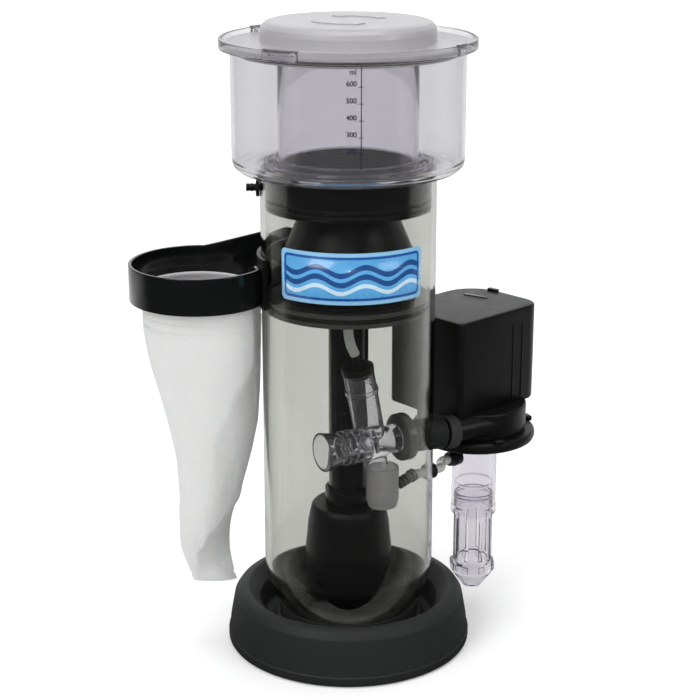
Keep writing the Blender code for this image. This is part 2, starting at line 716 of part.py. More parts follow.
def pump_in_motor_plan():
    """The pump's axis as distances along and across the housing from its front corner."""
    offset = Vector(PUMP_AXIS) - Vector(MOTOR_CORNER)
    along = Vector(on_circle(MOTOR_TURN, 1.0))
    across = Vector(on_circle(MOTOR_TURN + 90.0, 1.0))
    return offset.dot(along), offset.dot(across)


def build_stator():
    """A U-shaped iron core round the rotor can, with a coil on each leg."""
    along, across = pump_in_motor_plan()
    centre = motor_frame(along, across + CORE_OFFSET, CORE_MIDDLE_Z)
    core = block("stator_core", CORE_SIZE, centre, lamination, MOTOR_TURN)
    bore = turned("core_bore", disc(CAN_R + 0.5, 200.0, 160.0), place=(*PUMP_AXIS, 0), steps=LOW_STEPS)
    combine(core, bore)
    back = across + COIL_BACK
    slot_place = motor_frame(along, back - 1.0, CORE_MIDDLE_Z)
    combine(core, block("core_slot", CORE_SLOT_SIZE, slot_place, turn=MOTOR_TURN))
    for i, side in enumerate((-1, 1)):
        coil_place = motor_frame(along + side * COIL_SPACING, back, CORE_MIDDLE_Z)
        hole_place = motor_frame(along + side * LEG_SPACING, back, CORE_MIDDLE_Z)
        coil = block(f"stator_coil_{i + 1}", COIL_SIZE, coil_place, copper, MOTOR_TURN)
        combine(coil, block(f"coil_hole_{i + 1}", COIL_HOLE_SIZE, hole_place, turn=MOTOR_TURN))


def build_rotor():
    place = (*PUMP_AXIS, 0)
    bore = SHAFT_R + SHAFT_CLEARANCE
    turned("rotor_magnet", ring(MAGNET_R, bore, 196.0, 152.6), magnet_grey, place, steps=LOW_STEPS)
    turned("rotor_shaft", disc(SHAFT_R, 201.6, BUSH_BOTTOM + 0.1), ceramic, place, steps=SMALL_STEPS)
    turned("bush_upper", ring(5.0, bore, 201.9, 197.0), rubber_grey, place, steps=SMALL_STEPS)
    turned("bush_lower", ring(3.4, bore, BUSH_TOP, BUSH_BOTTOM), rubber_grey, place,
           steps=SMALL_STEPS)
    wheel = [(5.0, 152.3), (5.0, 143.0), (IMPELLER_R, 143.0), (IMPELLER_R, 141.0), (5.0, 141.0),
             (5.0, IMPELLER_BOTTOM), (bore, IMPELLER_BOTTOM), (bore, 152.3)]
    impeller = turned("impeller", wheel, clear_white, place, steps=LOW_STEPS)
    for count, radius in ((8, 18.0), (4, 11.0)):
        for i in range(count):
            x, y = on_circle(360.0 * i / count, radius, PUMP_AXIS)
            needle = turned(f"needle_{count}_{i + 1}", disc(1.3, 142.0, IMPELLER_BOTTOM),
                            place=(x, y, 0), steps=6)
            combine(impeller, needle, "UNION")


def build_volute():
    place = (*PUMP_AXIS, 0)
    volute = turned("pump_volute", disc(VOLUTE_R, VOLUTE_TOP, VOLUTE_BOTTOM), satin_black, place,
                    steps=MEDIUM_STEPS)
    reach = (Vector(PUMP_AXIS) - Vector(LINE_START)).dot(line_axis().xy)
    stub_start, stub_end = line_point(OUTLET_S, OUTLET_Z), line_point(reach - 10.0, OUTLET_Z)
    stub = rod("outlet_stub", STUB_R, stub_start, stub_end, steps=LOW_STEPS)
    combine(volute, stub, "UNION")
    cavity = turned("volute_cavity", disc(VOLUTE_BORE, 144.9, 120.0), place=place, steps=MEDIUM_STEPS)
    combine(volute, cavity)
    eye = turned("volute_eye", disc(CAN_BORE, 150.0, 140.0), place=place, steps=LOW_STEPS)
    combine(volute, eye)
    combine(volute, rod("outlet_bore", STUB_BORE, line_point(OUTLET_S - 5.0, OUTLET_Z),
                        line_point(reach - 8.0, OUTLET_Z)))
    edge = [(COVER_R - 1.6, COVER_TOP), (COVER_R, COVER_TOP - 1.6), (COVER_R, COVER_BOTTOM + 3.4),
            (COVER_R - 1.8, COVER_BOTTOM + 0.8)]
    under = [(COVER_R - 4.2, COVER_BOTTOM), (INLET_R, COVER_BOTTOM), (INLET_R, COVER_TOP)]
    cover = turned("volute_cover", edge + under, satin_black, place, steps=MEDIUM_STEPS)
    for i in range(3):
        arm_place = (*on_circle(120.0 * i, 8.2, PUMP_AXIS), SPIDER_Z)
        arm = block(f"spider_arm_{i + 1}", (8.0, 2.4, 3.4), arm_place, turn=120.0 * i)
        combine(cover, arm, "UNION")
    hub_profile = ring(5.6, 3.7, SPIDER_Z + 2.0, SPIDER_Z - 2.0)
    hub = turned("spider_hub", hub_profile, place=place, steps=SMALL_STEPS)
    combine(cover, hub, "UNION")


def build_suction():
    place = (*PUMP_AXIS, 0)
    bore = PIPE_R - PIPE_WALL
    pipe = turned("suction_pipe", ring(PIPE_R, bore, PIPE_TOP, PIPE_BOTTOM), clear_lavender, place,
                  steps=MEDIUM_STEPS)
    port_start = (*on_circle(ELBOW_AZIMUTH, 20.0, PUMP_AXIS), ELBOW_Z)
    port_end = (*on_circle(ELBOW_AZIMUTH, 11.0, PUMP_AXIS), ELBOW_Z)
    combine(pipe, rod("elbow_port", 1.6, port_start, port_end))
    outside = [(STRAINER_R, STRAINER_TOP), (STRAINER_R, 31.5), (15.0, 30.0), (15.0, 25.5),
               (13.0, 21.5), (6.0, 12.2), (0.0, STRAINER_TIP)]
    inside = [(0.0, STRAINER_TIP + 2.2), (5.0, 14.2), (STRAINER_BORE, 23.0),
              (STRAINER_BORE, STRAINER_TOP)]
    strainer = turned("strainer", inside + outside, clear_lavender, place, steps=MEDIUM_STEPS)
    for i in range(STRAINER_SLOTS // 2):
        slot = block(f"strainer_slot_{i + 1}", SLOT_SIZE, (*PUMP_AXIS, SLOT_MIDDLE_Z),
                     turn=(i + 0.5) * 360.0 / STRAINER_SLOTS)
        combine(strainer, slot)


def build_cable():
    gland, outward = gland_axis()
    profile = [(3.0, 6.0), (4.4, 6.0), (5.4, 2.4), (5.4, GAP), (3.9, GAP), (3.9, -5.0), (3.0, -5.0)]
    turned("cable_gland", profile, rubber_black, gland, outward, SMALL_STEPS)
    path = [gland - outward * 8.0, gland, gland + outward * 8.6]
    for reach, drop in ((15.0, 6.0), (17.0, 17.0), (15.0, 50.0)):
        path.append(gland + outward * reach - Vector((0, 0, drop)))
    hose("power_cable", path, CABLE_R, rubber_black)


# ---------------------------------------------------------------- bag and its holder

def strap_path():
    """The holder's strap, from the tube's front left, round the bag, to its back left."""
    path = []
    half = STRAP_END_SPAN / 2
    for azimuth in (STRAP_FRONT_AZIMUTH - half, STRAP_FRONT_AZIMUTH + half):
        path.append((*on_circle(azimuth, STRAP_END_R + STRAP_THICKNESS), STRAP_BOTTOM, STRAP_TOP))
    for x, y in arc((RING_X, 0.0), (RING_R, RING_R), -36.0, -270.0, 20):
        path.append((x, y, STRAP_BOTTOM, STRAP_TOP))
    sweep = [(-83.0, 43.6), (-72.0, 46.0), (-61.0, 48.6), (-51.0, 50.0), (-43.0, 48.6)]
    for i, (x, y) in enumerate(sweep):
        path.append((x, y, STRAP_BOTTOM, STRAP_TOP + STRAP_FLARE * (i + 1) / len(sweep)))
    for azimuth in (STRAP_BACK_AZIMUTH + half, STRAP_BACK_AZIMUTH - half):
        path.append((*on_circle(azimuth, STRAP_END_R), STRAP_BOTTOM, STRAP_TOP + STRAP_FLARE))
    return path


def build_holder():
    saddle = curved_plate("holder_saddle", VESSEL_R + GAP, (SADDLE_START, SADDLE_END),
                          (SADDLE_BOTTOM, SADDLE_TOP), SADDLE_R - VESSEL_R - GAP, satin_black, 10)
    combine(saddle, block("saddle_window", (20.0, 24.0, 13.0), (-VESSEL_R, 0, WINDOW_Z)))
    strap = wall("bag_holder", strap_path(), STRAP_THICKNESS, gloss_black)
    for i, azimuth in enumerate((STRAP_FRONT_AZIMUTH, STRAP_BACK_AZIMUTH)):
        outward = Vector((*on_circle(azimuth, 1.0), 0))
        start = outward * (VESSEL_R + 0.6) + Vector((0, 0, SCREW_Z))
        hole = rod(f"screw_hole_{i + 1}", SCREW_SHANK_R + GAP, start - outward, start + outward * 12.0)
        combine(saddle, hole)
        combine(strap, hole)
        head = STRAP_END_R + STRAP_THICKNESS + GAP - VESSEL_R - 0.2
        profile = [(0.0, head + 1.8), (SCREW_HEAD_R - 0.8, head + 1.8), (SCREW_HEAD_R, head + 0.8),
                   (SCREW_HEAD_R, head), (SCREW_SHANK_R, head), (SCREW_SHANK_R, 0.0), (0.0, 0.0)]
        turned(f"holder_screw_{i + 1}", profile, steel, start, outward, SMALL_STEPS)


def bag_rings():
    """Cross-sections of the bag: centre x, half width, half depth and height."""
    return [(BAG_X, BAG_TOP_R, BAG_TOP_R, BAG_TOP), (-94.8, 36.0, 36.0, 219.0),
            (-93.2, 35.0, 35.2, 196.0), (-90.6, 32.2, 33.0, 174.0), (-88.0, 29.0, 30.5, 150.0),
            (-87.8, 24.8, 27.2, 128.0), (-90.2, 20.6, 23.0, 102.0), (-93.8, 17.0, 18.2, 82.0),
            (-94.2, 16.0, 12.6, 62.0), (-88.6, 14.8, 4.4, BAG_BOTTOM)]


def build_bag():
    """An open felt sock that narrows to a flat closed foot."""
    sides = 24
    shape = bmesh.new()
    loops = []
    for centre, half_width, half_depth, z in bag_rings():
        loop = []
        for i in range(sides):
            angle = math.tau * i / sides
            point = (centre + half_width * math.cos(angle), half_depth * math.sin(angle), z)
            loop.append(shape.verts.new(Vector(point) * MM))
        loops.append(loop)
    for upper, lower in zip(loops, loops[1:]):
        for i in range(sides):
            after = (i + 1) % sides
            shape.faces.new((lower[i], lower[after], upper[after], upper[i]))
    shape.faces.new(list(reversed(loops[-1])))
    mesh = bpy.data.meshes.new("filter_bag")
    shape.to_mesh(mesh)
    shape.free()
    mesh.shade_smooth()
    bag = add_object("filter_bag", mesh, felt_white)
    step = bag.modifiers.new("thickness", "SOLIDIFY")
    step.thickness = BAG_WALL * MM
    step.offset = -1.0
    inside = BAG_TOP_R - BAG_WALL - GAP
    turned("bag_ring", ring(inside, inside - 2.0, BAG_TOP - 0.6, BAG_TOP - 7.0), frosted,
           (BAG_X, 0, 0), steps=LOW_STEPS)


# ---------------------------------------------------------------- build

clear_scene()
parts = make_collection("protein_skimmer")
cutters = make_collection("cutters")

clear_acrylic = make_material("clear_acrylic", (0.86, 0.87, 0.85), 0.03, transmission=1.0)
clear_lavender = make_material("clear_lavender", (0.78, 0.75, 0.84), 0.05, transmission=1.0)
clear_white = make_material("clear_white", (0.85, 0.86, 0.88), 0.2, transmission=0.6)
frosted = make_material("frosted", (0.82, 0.81, 0.86), 0.35, transmission=0.7)
smoke_grey = make_material("smoke_grey", (0.16, 0.16, 0.15), 0.25)
gloss_black = make_material("gloss_black", (0.010, 0.012, 0.010), 0.15)
satin_black = make_material("satin_black", (0.018, 0.020, 0.018), 0.38)
rubber_black = make_material("rubber_black", (0.020, 0.024, 0.022), 0.6)
base_black = make_material("base_black", (0.022, 0.027, 0.025), 0.65)
rubber_grey = make_material("rubber_grey", (0.10, 0.10, 0.10), 0.7)
milky_hose = make_material("milky_hose", (0.62, 0.63, 0.60), 0.3, transmission=0.3)
felt_white = make_material("felt_white", (0.78, 0.78, 0.76), 0.95)
label_blue = make_material("label_blue", (0.09, 0.38, 0.75), 0.3)
steel = make_material("steel", (0.70, 0.70, 0.72), 0.25, metallic=1.0)
lamination = make_material("lamination", (0.22, 0.22, 0.23), 0.5, metallic=0.8)
copper = make_material("copper", (0.60, 0.26, 0.12), 0.4, metallic=0.9)
magnet_grey = make_material("magnet_grey", (0.09, 0.09, 0.10), 0.5)
ceramic = make_material("ceramic", (0.85, 0.84, 0.80), 0.2)

build_base()
build_seat()
build_vessel()
build_label()
build_divider()
build_standpipe()
build_foam_bell()
build_neck()
build_cup()
build_lid()
build_nipple()
build_air_chamber()
build_injector()
build_port()
build_regulator()
build_suction_hose()
build_motor()
build_stator()
build_rotor()
build_volute()
build_suction()
build_cable()
build_holder()
build_bag()
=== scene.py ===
"""Looks of the protein skimmer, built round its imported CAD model."""

import json
import math

import bmesh
import bpy
from mathutils import Matrix, Vector, noise


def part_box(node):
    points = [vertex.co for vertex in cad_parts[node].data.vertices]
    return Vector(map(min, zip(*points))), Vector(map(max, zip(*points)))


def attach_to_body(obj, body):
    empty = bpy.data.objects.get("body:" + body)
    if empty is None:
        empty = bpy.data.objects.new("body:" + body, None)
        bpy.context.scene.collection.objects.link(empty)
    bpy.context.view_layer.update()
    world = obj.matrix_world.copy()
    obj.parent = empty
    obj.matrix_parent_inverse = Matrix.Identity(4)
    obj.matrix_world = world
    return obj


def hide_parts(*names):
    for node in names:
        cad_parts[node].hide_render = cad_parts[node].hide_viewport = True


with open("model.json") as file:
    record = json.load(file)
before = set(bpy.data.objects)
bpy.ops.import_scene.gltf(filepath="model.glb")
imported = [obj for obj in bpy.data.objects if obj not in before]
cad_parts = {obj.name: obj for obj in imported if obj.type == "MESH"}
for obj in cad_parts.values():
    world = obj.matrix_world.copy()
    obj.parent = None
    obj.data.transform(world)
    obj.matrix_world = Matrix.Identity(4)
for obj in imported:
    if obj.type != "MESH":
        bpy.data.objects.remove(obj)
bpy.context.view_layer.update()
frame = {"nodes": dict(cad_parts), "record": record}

MM = 0.001
ON_AXIS = 0.02 * MM
ROUND_STEPS = 128
MEDIUM_STEPS = 96
SMALL_STEPS = 48

# The camera: its offset to the side, distance from the vessel's axis, height and downward pitch.
CAMERA_SIDE = 0.001
CAMERA_DISTANCE = 1.064
CAMERA_HEIGHT = 0.5306
CAMERA_PITCH = 17.35
CAMERA_LENS = 89.7

# Sizes in millimetres that the CAD pieces share, where a node's box doesn't give them.
CAD_GAP = 0.3
CUP_R = 72.2
MARK_GAP = 9.75
WINDOW_Z = 247.5
VESSEL_WINDOW = (12, 26, 15)
SADDLE_WINDOW = (20, 24, 13)
PORT_HOLE_R = 10.7
HOSE_HOLE_R = 5.4
HOSE_R = 3.1
CABLE_R = 2.4
LABEL_THICKNESS = 0.4
LABEL_CORNER = 3.2
WAVE_LENGTH = 30.0
VOLUTE_R = 34.0
OUTLET_Z = 139.5
STRAP_TOP = 256.5
HEM_SEAMS = (223.5, 219.5)


def on_circle(azimuth, radius=1.0):
    """A level vector of a length, turned to an azimuth in degrees."""
    angle = math.radians(azimuth)
    return Vector((radius * math.cos(angle), radius * math.sin(angle), 0))


def mm(x, y, z):
    """A place from millimetres."""
    return Vector((x, y, z)) * MM


def size_of(node):
    """The lowest and highest corner of a CAD node in millimetres."""
    low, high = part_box(node)
    return Vector(low) / MM, Vector(high) / MM


# Directions that the CAD pieces are turned to.
UP = Vector((0, 0, 1))
PUMP_LINE = on_circle(30.0)
CHAMBER_AXIS = Vector((-8.0, -4.5, 47.0)).normalized()
CONNECTOR_AXIS = Vector((8.6, 5.5, 3.4)).normalized()
GROMMET_AXIS = on_circle(36.0)
ELBOW_AXIS = on_circle(42.0)
MOTOR_TURN = 43.5
MOTOR_ALONG = on_circle(MOTOR_TURN)
MOTOR_ACROSS = on_circle(MOTOR_TURN + 90.0)

BODY_OF = {}
for body_name, members in frame["record"]["behaviour"]["bodies"].items():
    for member in members:
        BODY_OF[member] = body_name
SLOT_OF = {}
for subpart in frame["record"]["subparts"]:
    SLOT_OF[subpart["node"]] = subpart["material_slot"]


# ---- materials

class Graph:
    """A material's node tree, or a world's, with short calls to add and link shader nodes."""

    def __init__(self, name, world=None):
        self.material = world or bpy.data.materials.new(name)
        self.material.use_nodes = True
        self.tree = self.material.node_tree
        self.tree.nodes.clear()
        self.output = self.add("OutputWorld" if world else "OutputMaterial")

    def add(self, kind, inputs=None, **settings):
        made = self.tree.nodes.new("ShaderNode" + kind)
        for key, value in settings.items():
            setattr(made, key, value)
        for key, value in (inputs or {}).items():
            if isinstance(value, bpy.types.NodeSocket):
                self.tree.links.new(value, made.inputs[key])
            else:
                made.inputs[key].default_value = value
        return made

    def math(self, operation, *values):
        return self.add("Math", dict(enumerate(values)), operation=operation).outputs[0]

    def noise(self, scale, detail=3.0, roughness=0.5, vector=None):
        inputs = {"Scale": scale, "Detail": detail, "Roughness": roughness}
        inputs["Vector"] = vector or self.place()
        return self.add("TexNoise", inputs).outputs["Fac"]

    def place(self):
        return self.add("TexCoord").outputs["Object"]

    def ramp(self, value, low, high):
        """A value from 0 to 1 turned into the range from low to high."""
        inputs = {"Value": value, "To Min": low, "To Max": high}
        return self.add("MapRange", inputs).outputs["Result"]

    def blend(self, factor, one, two):
        """A color between two others, each a plain color or a socket."""
        inputs = {0: factor, 6: one, 7: two}
        for index in (6, 7):
            if not isinstance(inputs[index], bpy.types.NodeSocket):
                inputs[index] = (*inputs[index], 1.0)
        return self.add("Mix", inputs, data_type="RGBA").outputs[2]

    def bump(self, height, distance, strength=1.0):
        inputs = {"Height": height, "Distance": distance, "Strength": strength}
        return self.add("Bump", inputs).outputs["Normal"]

    def beyond(self, vector, low, high, dark, bright):
        """A value from dark to bright as a vector reaches away from the camera, on the level."""
        forward = self.add("VectorTransform", {"Vector": (0.0, 0.0, 1.0)},
                           vector_type="VECTOR", convert_from="CAMERA", convert_to="WORLD")
        level = self.add("VectorMath", {0: forward.outputs[0], 1: (1.0, 1.0, 0.0)},
                         operation="MULTIPLY")
        ahead = self.add("VectorMath", {0: vector, 1: level.outputs[0]},
                         operation="DOT_PRODUCT")
        inputs = {"Value": ahead.outputs["Value"], "From Min": low, "From Max": high,
                  "To Min": dark, "To Max": bright}
        return self.add("MapRange", inputs).outputs["Result"]

    def ray(self, kind):
        """1 for rays of a kind, such as Camera or Shadow."""
        return self.add("LightPath").outputs[f"Is {kind} Ray"]

    def mix(self, factor, one, two):
        """A shader that turns from one into two as the factor goes from 0 to 1."""
        return self.add("MixShader", {0: factor, 1: one.outputs[0], 2: two.outputs[0]})

    def shade(self, shader):
        """Give the surface a shader, and return the finished material."""
        self.tree.links.new(shader.outputs[0], self.output.inputs["Surface"])
        return self.material

    def principled(self, color, roughness, normal, **others):
        """Finish with one principled shader, its other inputs named with _ for a space."""
        inputs = {"Base Color": color, "Roughness": roughness, "Normal": normal}
        inputs.update((name.replace("_", " "), value) for name, value in others.items())
        return self.shade(self.add("BsdfPrincipled", inputs))


def clear_plastic(name, tint, haze=0.0):
    """Polished acrylic: refracts for the eye, lets light through to what is inside."""
    graph = Graph(name)
    rough = graph.ramp(graph.noise(60.0, 2.0), 0.005, 0.02)
    shader = graph.add("BsdfGlass", {"Color": (*tint, 1.0), "Roughness": rough, "IOR": 1.45})
    if haze > 0:
        cloud = graph.add("BsdfDiffuse", {"Color": (*tint, 1.0)})
        shader = graph.mix(haze, shader, cloud)
    through = graph.math("MAXIMUM", graph.ray("Shadow"), graph.ray("Diffuse"))
    passing = graph.add("BsdfTransparent", {"Color": (*(0.9 * c for c in tint), 1.0)})
    return graph.shade(graph.mix(through, shader, passing))


def frosted_plastic(name, tint, roughness, haze):
    """Moulded translucent plastic with a fine cloudy grain."""
    graph = Graph(name)
    color = graph.blend(graph.noise(45.0, 3.0), tuple(0.96 * c for c in tint), tint)
    surface = {"Base Color": color, "Roughness": roughness,
               "Normal": graph.bump(graph.noise(900.0, 2.0), 0.00008)}
    clear = graph.add("BsdfPrincipled", {**surface, "IOR": 1.45, "Transmission Weight": 1.0})
    cloud = graph.add("BsdfPrincipled", surface)
    passing = graph.add("BsdfTransparent", {"Color": (*(0.8 * c for c in tint), 1.0)})
    return graph.shade(graph.mix(graph.ray("Shadow"), graph.mix(haze, clear, cloud), passing))


def moulded_plastic(name, color, roughness, grain=1400.0, depth=0.000003, coat=0.0):
    """Moulded opaque plastic: a fine grain, faint flow marks and uneven sheen."""
    graph = Graph(name)
    paler = tuple(min(1.0, c * 1.35 + 0.002) for c in color)
    shade = graph.blend(graph.noise(18.0, 4.0), color, paler)
    rough = graph.ramp(graph.noise(120.0, 3.0), roughness * 0.8, roughness * 1.25)
    normal = graph.bump(graph.noise(grain, 2.0), depth)
    return graph.principled(shade, rough, normal, Coat_Weight=coat, Coat_Roughness=0.08,
                            Specular_IOR_Level=0.28)


def charcoal_base(name):
    """The base's matt leathery moulding, rubbed a little paler on its edges."""
    graph = Graph(name)
    speckle = graph.noise(2600.0, 3.0, 0.7)
    patches = graph.noise(30.0, 4.0)
    body = graph.blend(speckle, (0.008, 0.010, 0.009), (0.020, 0.025, 0.022))
    body = graph.blend(graph.ramp(patches, 0.0, 0.5), body, (0.014, 0.017, 0.015))
    edge = graph.add("NewGeometry").outputs["Pointiness"]
    wear = graph.add("MapRange", {"Value": edge, "From Min": 0.52, "From Max": 0.60,
                                            "To Min": 0.0, "To Max": 0.5}).outputs["Result"]
    color = graph.blend(wear, body, (0.040, 0.046, 0.042))
    height = graph.math("ADD", speckle, graph.noise(700.0, 2.0))
    return graph.principled(color, graph.ramp(patches, 0.5, 0.68), graph.bump(height, 0.00012))


def rubber(name, color, roughness=0.6):
    """Matt rubber with a coarser grain."""
    return moulded_plastic(name, color, roughness, grain=2200.0, depth=0.00006)


def milky_tube(name):
    """Silicone hose: milky, soft and slightly see-through."""
    graph = Graph(name)
    color = graph.blend(graph.noise(300.0, 2.0), (0.62, 0.63, 0.60), (0.76, 0.77, 0.74))
    normal = graph.bump(graph.noise(160.0, 2.0), 0.0001)
    return graph.principled(color, 0.28, normal, Transmission_Weight=0.35, IOR=1.41,
                            Subsurface_Weight=0.3, Subsurface_Scale=0.002, Coat_Weight=0.3)


def felt(name):
    """Needled felt: matted fibres, a soft nap and a faint mottle."""
    graph = Graph(name)
    fibre = graph.noise(1500.0, 6.0, 0.75)
    tuft = graph.noise(420.0, 4.0, 0.6)
    mottle = graph.noise(34.0, 5.0)
    color = graph.blend(fibre, (0.70, 0.705, 0.69), (0.86, 0.865, 0.85))
    color = graph.blend(graph.ramp(mottle, 0.0, 0.3), color, (0.64, 0.65, 0.64))
    height = graph.math("ADD", fibre, graph.math("MULTIPLY", tuft, 2.2))
    return graph.principled(color, 0.95, graph.bump(height, 0.00055, 0.9), Sheen_Weight=0.6,
                            Sheen_Roughness=0.5, Subsurface_Weight=0.12, Subsurface_Scale=0.003)


def metal(name, color, roughness, scale=900.0):
    """Metal with a fine brushed grain."""
    graph = Graph(name)
    stretch = graph.add("Mapping", {"Vector": graph.place(), "Scale": (0.08, 0.08, 1.0)})
    grain = graph.noise(scale, 3.0, vector=stretch.outputs[0])
    rough = graph.ramp(grain, roughness * 0.7, roughness * 1.5)
    return graph.principled((*color, 1.0), rough, graph.bump(grain, 0.00004), Metallic=1.0)


def winding(name):
    """Copper wire laid in close turns."""
    graph = Graph(name)
    turns = graph.add("TexWave", {"Vector": graph.place(), "Scale": 320.0, "Distortion": 0.4},
                      bands_direction="Z").outputs["Fac"]
    color = graph.blend(turns, (0.32, 0.10, 0.04), (0.80, 0.38, 0.18))
    return graph.principled(color, 0.32, graph.bump(turns, 0.0003), Metallic=0.9)


def label_print(name, width, height, corner):
    """The blue label's print, drawn in its own millimetres: a bordered panel with plain waves."""
    graph = Graph(name)
    flat = graph.add("SeparateXYZ", {0: graph.add("UVMap").outputs[0]})
    across, upward = flat.outputs[0], flat.outputs[1]

    def beyond_side(place, half):
        past = graph.math("SUBTRACT", graph.math("ABSOLUTE", place), half)
        return graph.math("MAXIMUM", past, 0.0)

    def box_distance(inset):
        far_x = beyond_side(across, width / 2 - corner - inset)
        far_y = beyond_side(upward, height / 2 - corner - inset)
        squares = graph.math("MULTIPLY_ADD", far_x, far_x, graph.math("MULTIPLY", far_y, far_y))
        return graph.math("SUBTRACT", graph.math("SQRT", squares), corner)

    def wave(offset, swell, thickness):
        swing = graph.math("SINE", graph.math("MULTIPLY", across, math.tau / WAVE_LENGTH))
        crest = graph.math("MULTIPLY_ADD", swing, swell, offset)
        gap = graph.math("ABSOLUTE", graph.math("SUBTRACT", upward, crest))
        return graph.math("LESS_THAN", gap, thickness)

    inner = box_distance(2.4)
    ink = graph.noise(160.0, 4.0)
    color = graph.blend(ink, (0.085, 0.36, 0.72), (0.12, 0.43, 0.78))
    navy, foam = (0.012, 0.075, 0.26), (0.60, 0.78, 0.90)
    waves = ((4.6, 2.6, 1.7, navy), (-1.2, 2.6, 1.7, navy), (-6.6, 2.4, 1.3, foam))
    for offset, swell, thickness, tone in waves:
        color = graph.blend(wave(offset, swell, thickness), color, tone)
    rim = graph.math("LESS_THAN", graph.math("ABSOLUTE", graph.math("ADD", inner, 0.9)), 0.75)
    color = graph.blend(graph.math("GREATER_THAN", inner, 0.2), color, (0.30, 0.60, 0.86))
    color = graph.blend(rim, color, (0.012, 0.09, 0.36))
    film = graph.add("BsdfPrincipled", {"Base Color": color, "Roughness": graph.ramp(ink, 0.22, 0.34),
                                        "Coat Weight": 0.5, "Coat Roughness": 0.05})
    clear = graph.add("BsdfTransparent")
    return graph.shade(graph.mix(graph.math("GREATER_THAN", box_distance(0.0), 0.0), film, clear))


MATERIALS = {
    "base_black": charcoal_base("base_black"),
    "clear_acrylic": clear_plastic("clear_acrylic", (0.870, 0.873, 0.858)),
    "clear_lavender": clear_plastic("clear_lavender", (0.953, 0.946, 0.965), haze=0.02),
    "cup_wall": clear_plastic("cup_wall", (0.882, 0.880, 0.888), haze=0.02),
    "clear_white": frosted_plastic("clear_white", (0.86, 0.87, 0.90), 0.2, 0.3),
    "frosted": frosted_plastic("frosted", (0.67, 0.66, 0.68), 0.3, 0.35),
    "smoke_grey": moulded_plastic("smoke_grey", (0.060, 0.061, 0.058), 0.24, coat=0.3),
    "gloss_black": moulded_plastic("gloss_black", (0.0035, 0.0045, 0.004), 0.2, coat=0.4),
    "satin_black": moulded_plastic("satin_black", (0.0035, 0.0045, 0.0035), 0.36, depth=0.000005),
    "rubber_black": rubber("rubber_black", (0.008, 0.010, 0.009)),
    "rubber_grey": rubber("rubber_grey", (0.022, 0.022, 0.021)),
    "milky_hose": milky_tube("milky_hose"),
    "felt_white": felt("felt_white"),
    "steel": metal("steel", (0.72, 0.72, 0.73), 0.22),
    "lamination": metal("lamination", (0.25, 0.25, 0.26), 0.45),
    "copper": winding("copper"),
    "magnet_grey": moulded_plastic("magnet_grey", (0.07, 0.07, 0.075), 0.5),
    "ceramic": moulded_plastic("ceramic", (0.82, 0.81, 0.77), 0.15),
}
INK = moulded_plastic("scale_ink", (0.02, 0.018, 0.045), 0.45)


# ---- building round pieces

def centre_of(node):
    """The mean of a CAD node's vertices, which is on the axis of a turned piece without cuts."""
    vertices = frame["nodes"][node].data.vertices
    return sum((v.co for v in vertices), Vector()) / len(vertices)


def axis_point(node, axis=UP):
    """A point on a turned piece's axis."""
    if axis is not UP:
        return centre_of(node)
    low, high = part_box(node)
    return Vector(((low.x + high.x) / 2, (low.y + high.y) / 2, 0.0))


def meridian(node, axis=UP, origin=None):
    """A turned CAD piece's outline as (radius, height) points, read off one uncut meridian."""
    origin = origin or axis_point(node, axis)
    level = axis.to_track_quat("Z", "Y").inverted()
    mesh = frame["nodes"][node].data
    spots = []
    for vertex in mesh.vertices:
        place = level @ (vertex.co - origin)
        radius = math.hypot(place.x, place.y)
        turned = math.degrees(math.atan2(place.y, place.x)) % 360
        angle = None if radius < ON_AXIS else round(2 * turned + 0.123) % 720
        spots.append(((round(radius, 5), round(place.z, 5)), angle))
    found = {}
    for edge in mesh.edges:
        (one, angle), (two, other) = (spots[i] for i in edge.vertices)
        if angle is None:
            angle = other
        if one != two and angle is not None and other in (None, angle):
            found.setdefault(angle, set()).add(frozenset((one, two)))
    chains = [walk(edges) for angle, edges in sorted(found.items())]
    return max(chains, key=lambda chain: (chain[0], len(chain[1])))[1]


def walk(edges):
    """Edges of an outline put in order: whether they are one line, and its points."""
    joined = {}
    for one, two in (tuple(edge) for edge in edges):
        joined.setdefault(one, []).append(two)
        joined.setdefault(two, []).append(one)
    ends = sorted(point for point, others in joined.items() if len(others) == 1)
    path = [ends[0] if ends else min(joined)]
    while True:
        ahead = [point for point in joined[path[-1]] if point not in path]
        if not ahead:
            break
        path.append(ahead[0])
    whole = len(path) == len(joined) and max(len(others) for others in joined.values()) == 2
    if ends:
        near_axis = [point[0] < ON_AXIS for point in (path[0], path[-1])]
        start = [] if near_axis[0] else [(0.0, path[0][1])]
        end = [] if near_axis[1] else [(0.0, path[-1][1])]
        path = start + path + end
    area = sum(a[0] * b[1] - b[0] * a[1] for a, b in zip(path, path[1:] + path[:1]))
    return whole, path if area < 0 else path[::-1]


def soften(profile, radius):
    """An outline with its corners rounded by up to a radius."""
    closed = profile[0][0] > ON_AXIS
    count = len(profile)
    smooth = []
    for i, point in enumerate(profile):
        if not closed and i in (0, count - 1):
            smooth.append(point)
            continue
        here = Vector(point)
        before = Vector(profile[i - 1]) - here
        after = Vector(profile[(i + 1) % count]) - here
        bend = min(before.angle(-after, 0.0), math.radians(150))
        if bend < math.radians(12):
            smooth.append(point)
            continue
        reach = min(radius * math.tan(bend / 2), 0.45 * before.length, 0.45 * after.length)
        start, end = here + before.normalized() * reach, here + after.normalized() * reach
        for k in range(5):
            t = k / 4
            spot = start * (1 - t) ** 2 + here * 2 * t * (1 - t) + end * t ** 2
            smooth.append((max(0.0, spot.x), spot.y))
    return smooth


def show(name, data):
    """An object in the scene for a mesh, a curve, a lamp or a camera."""
    thing = bpy.data.objects.new(name, data)
    bpy.context.scene.collection.objects.link(thing)
    return thing


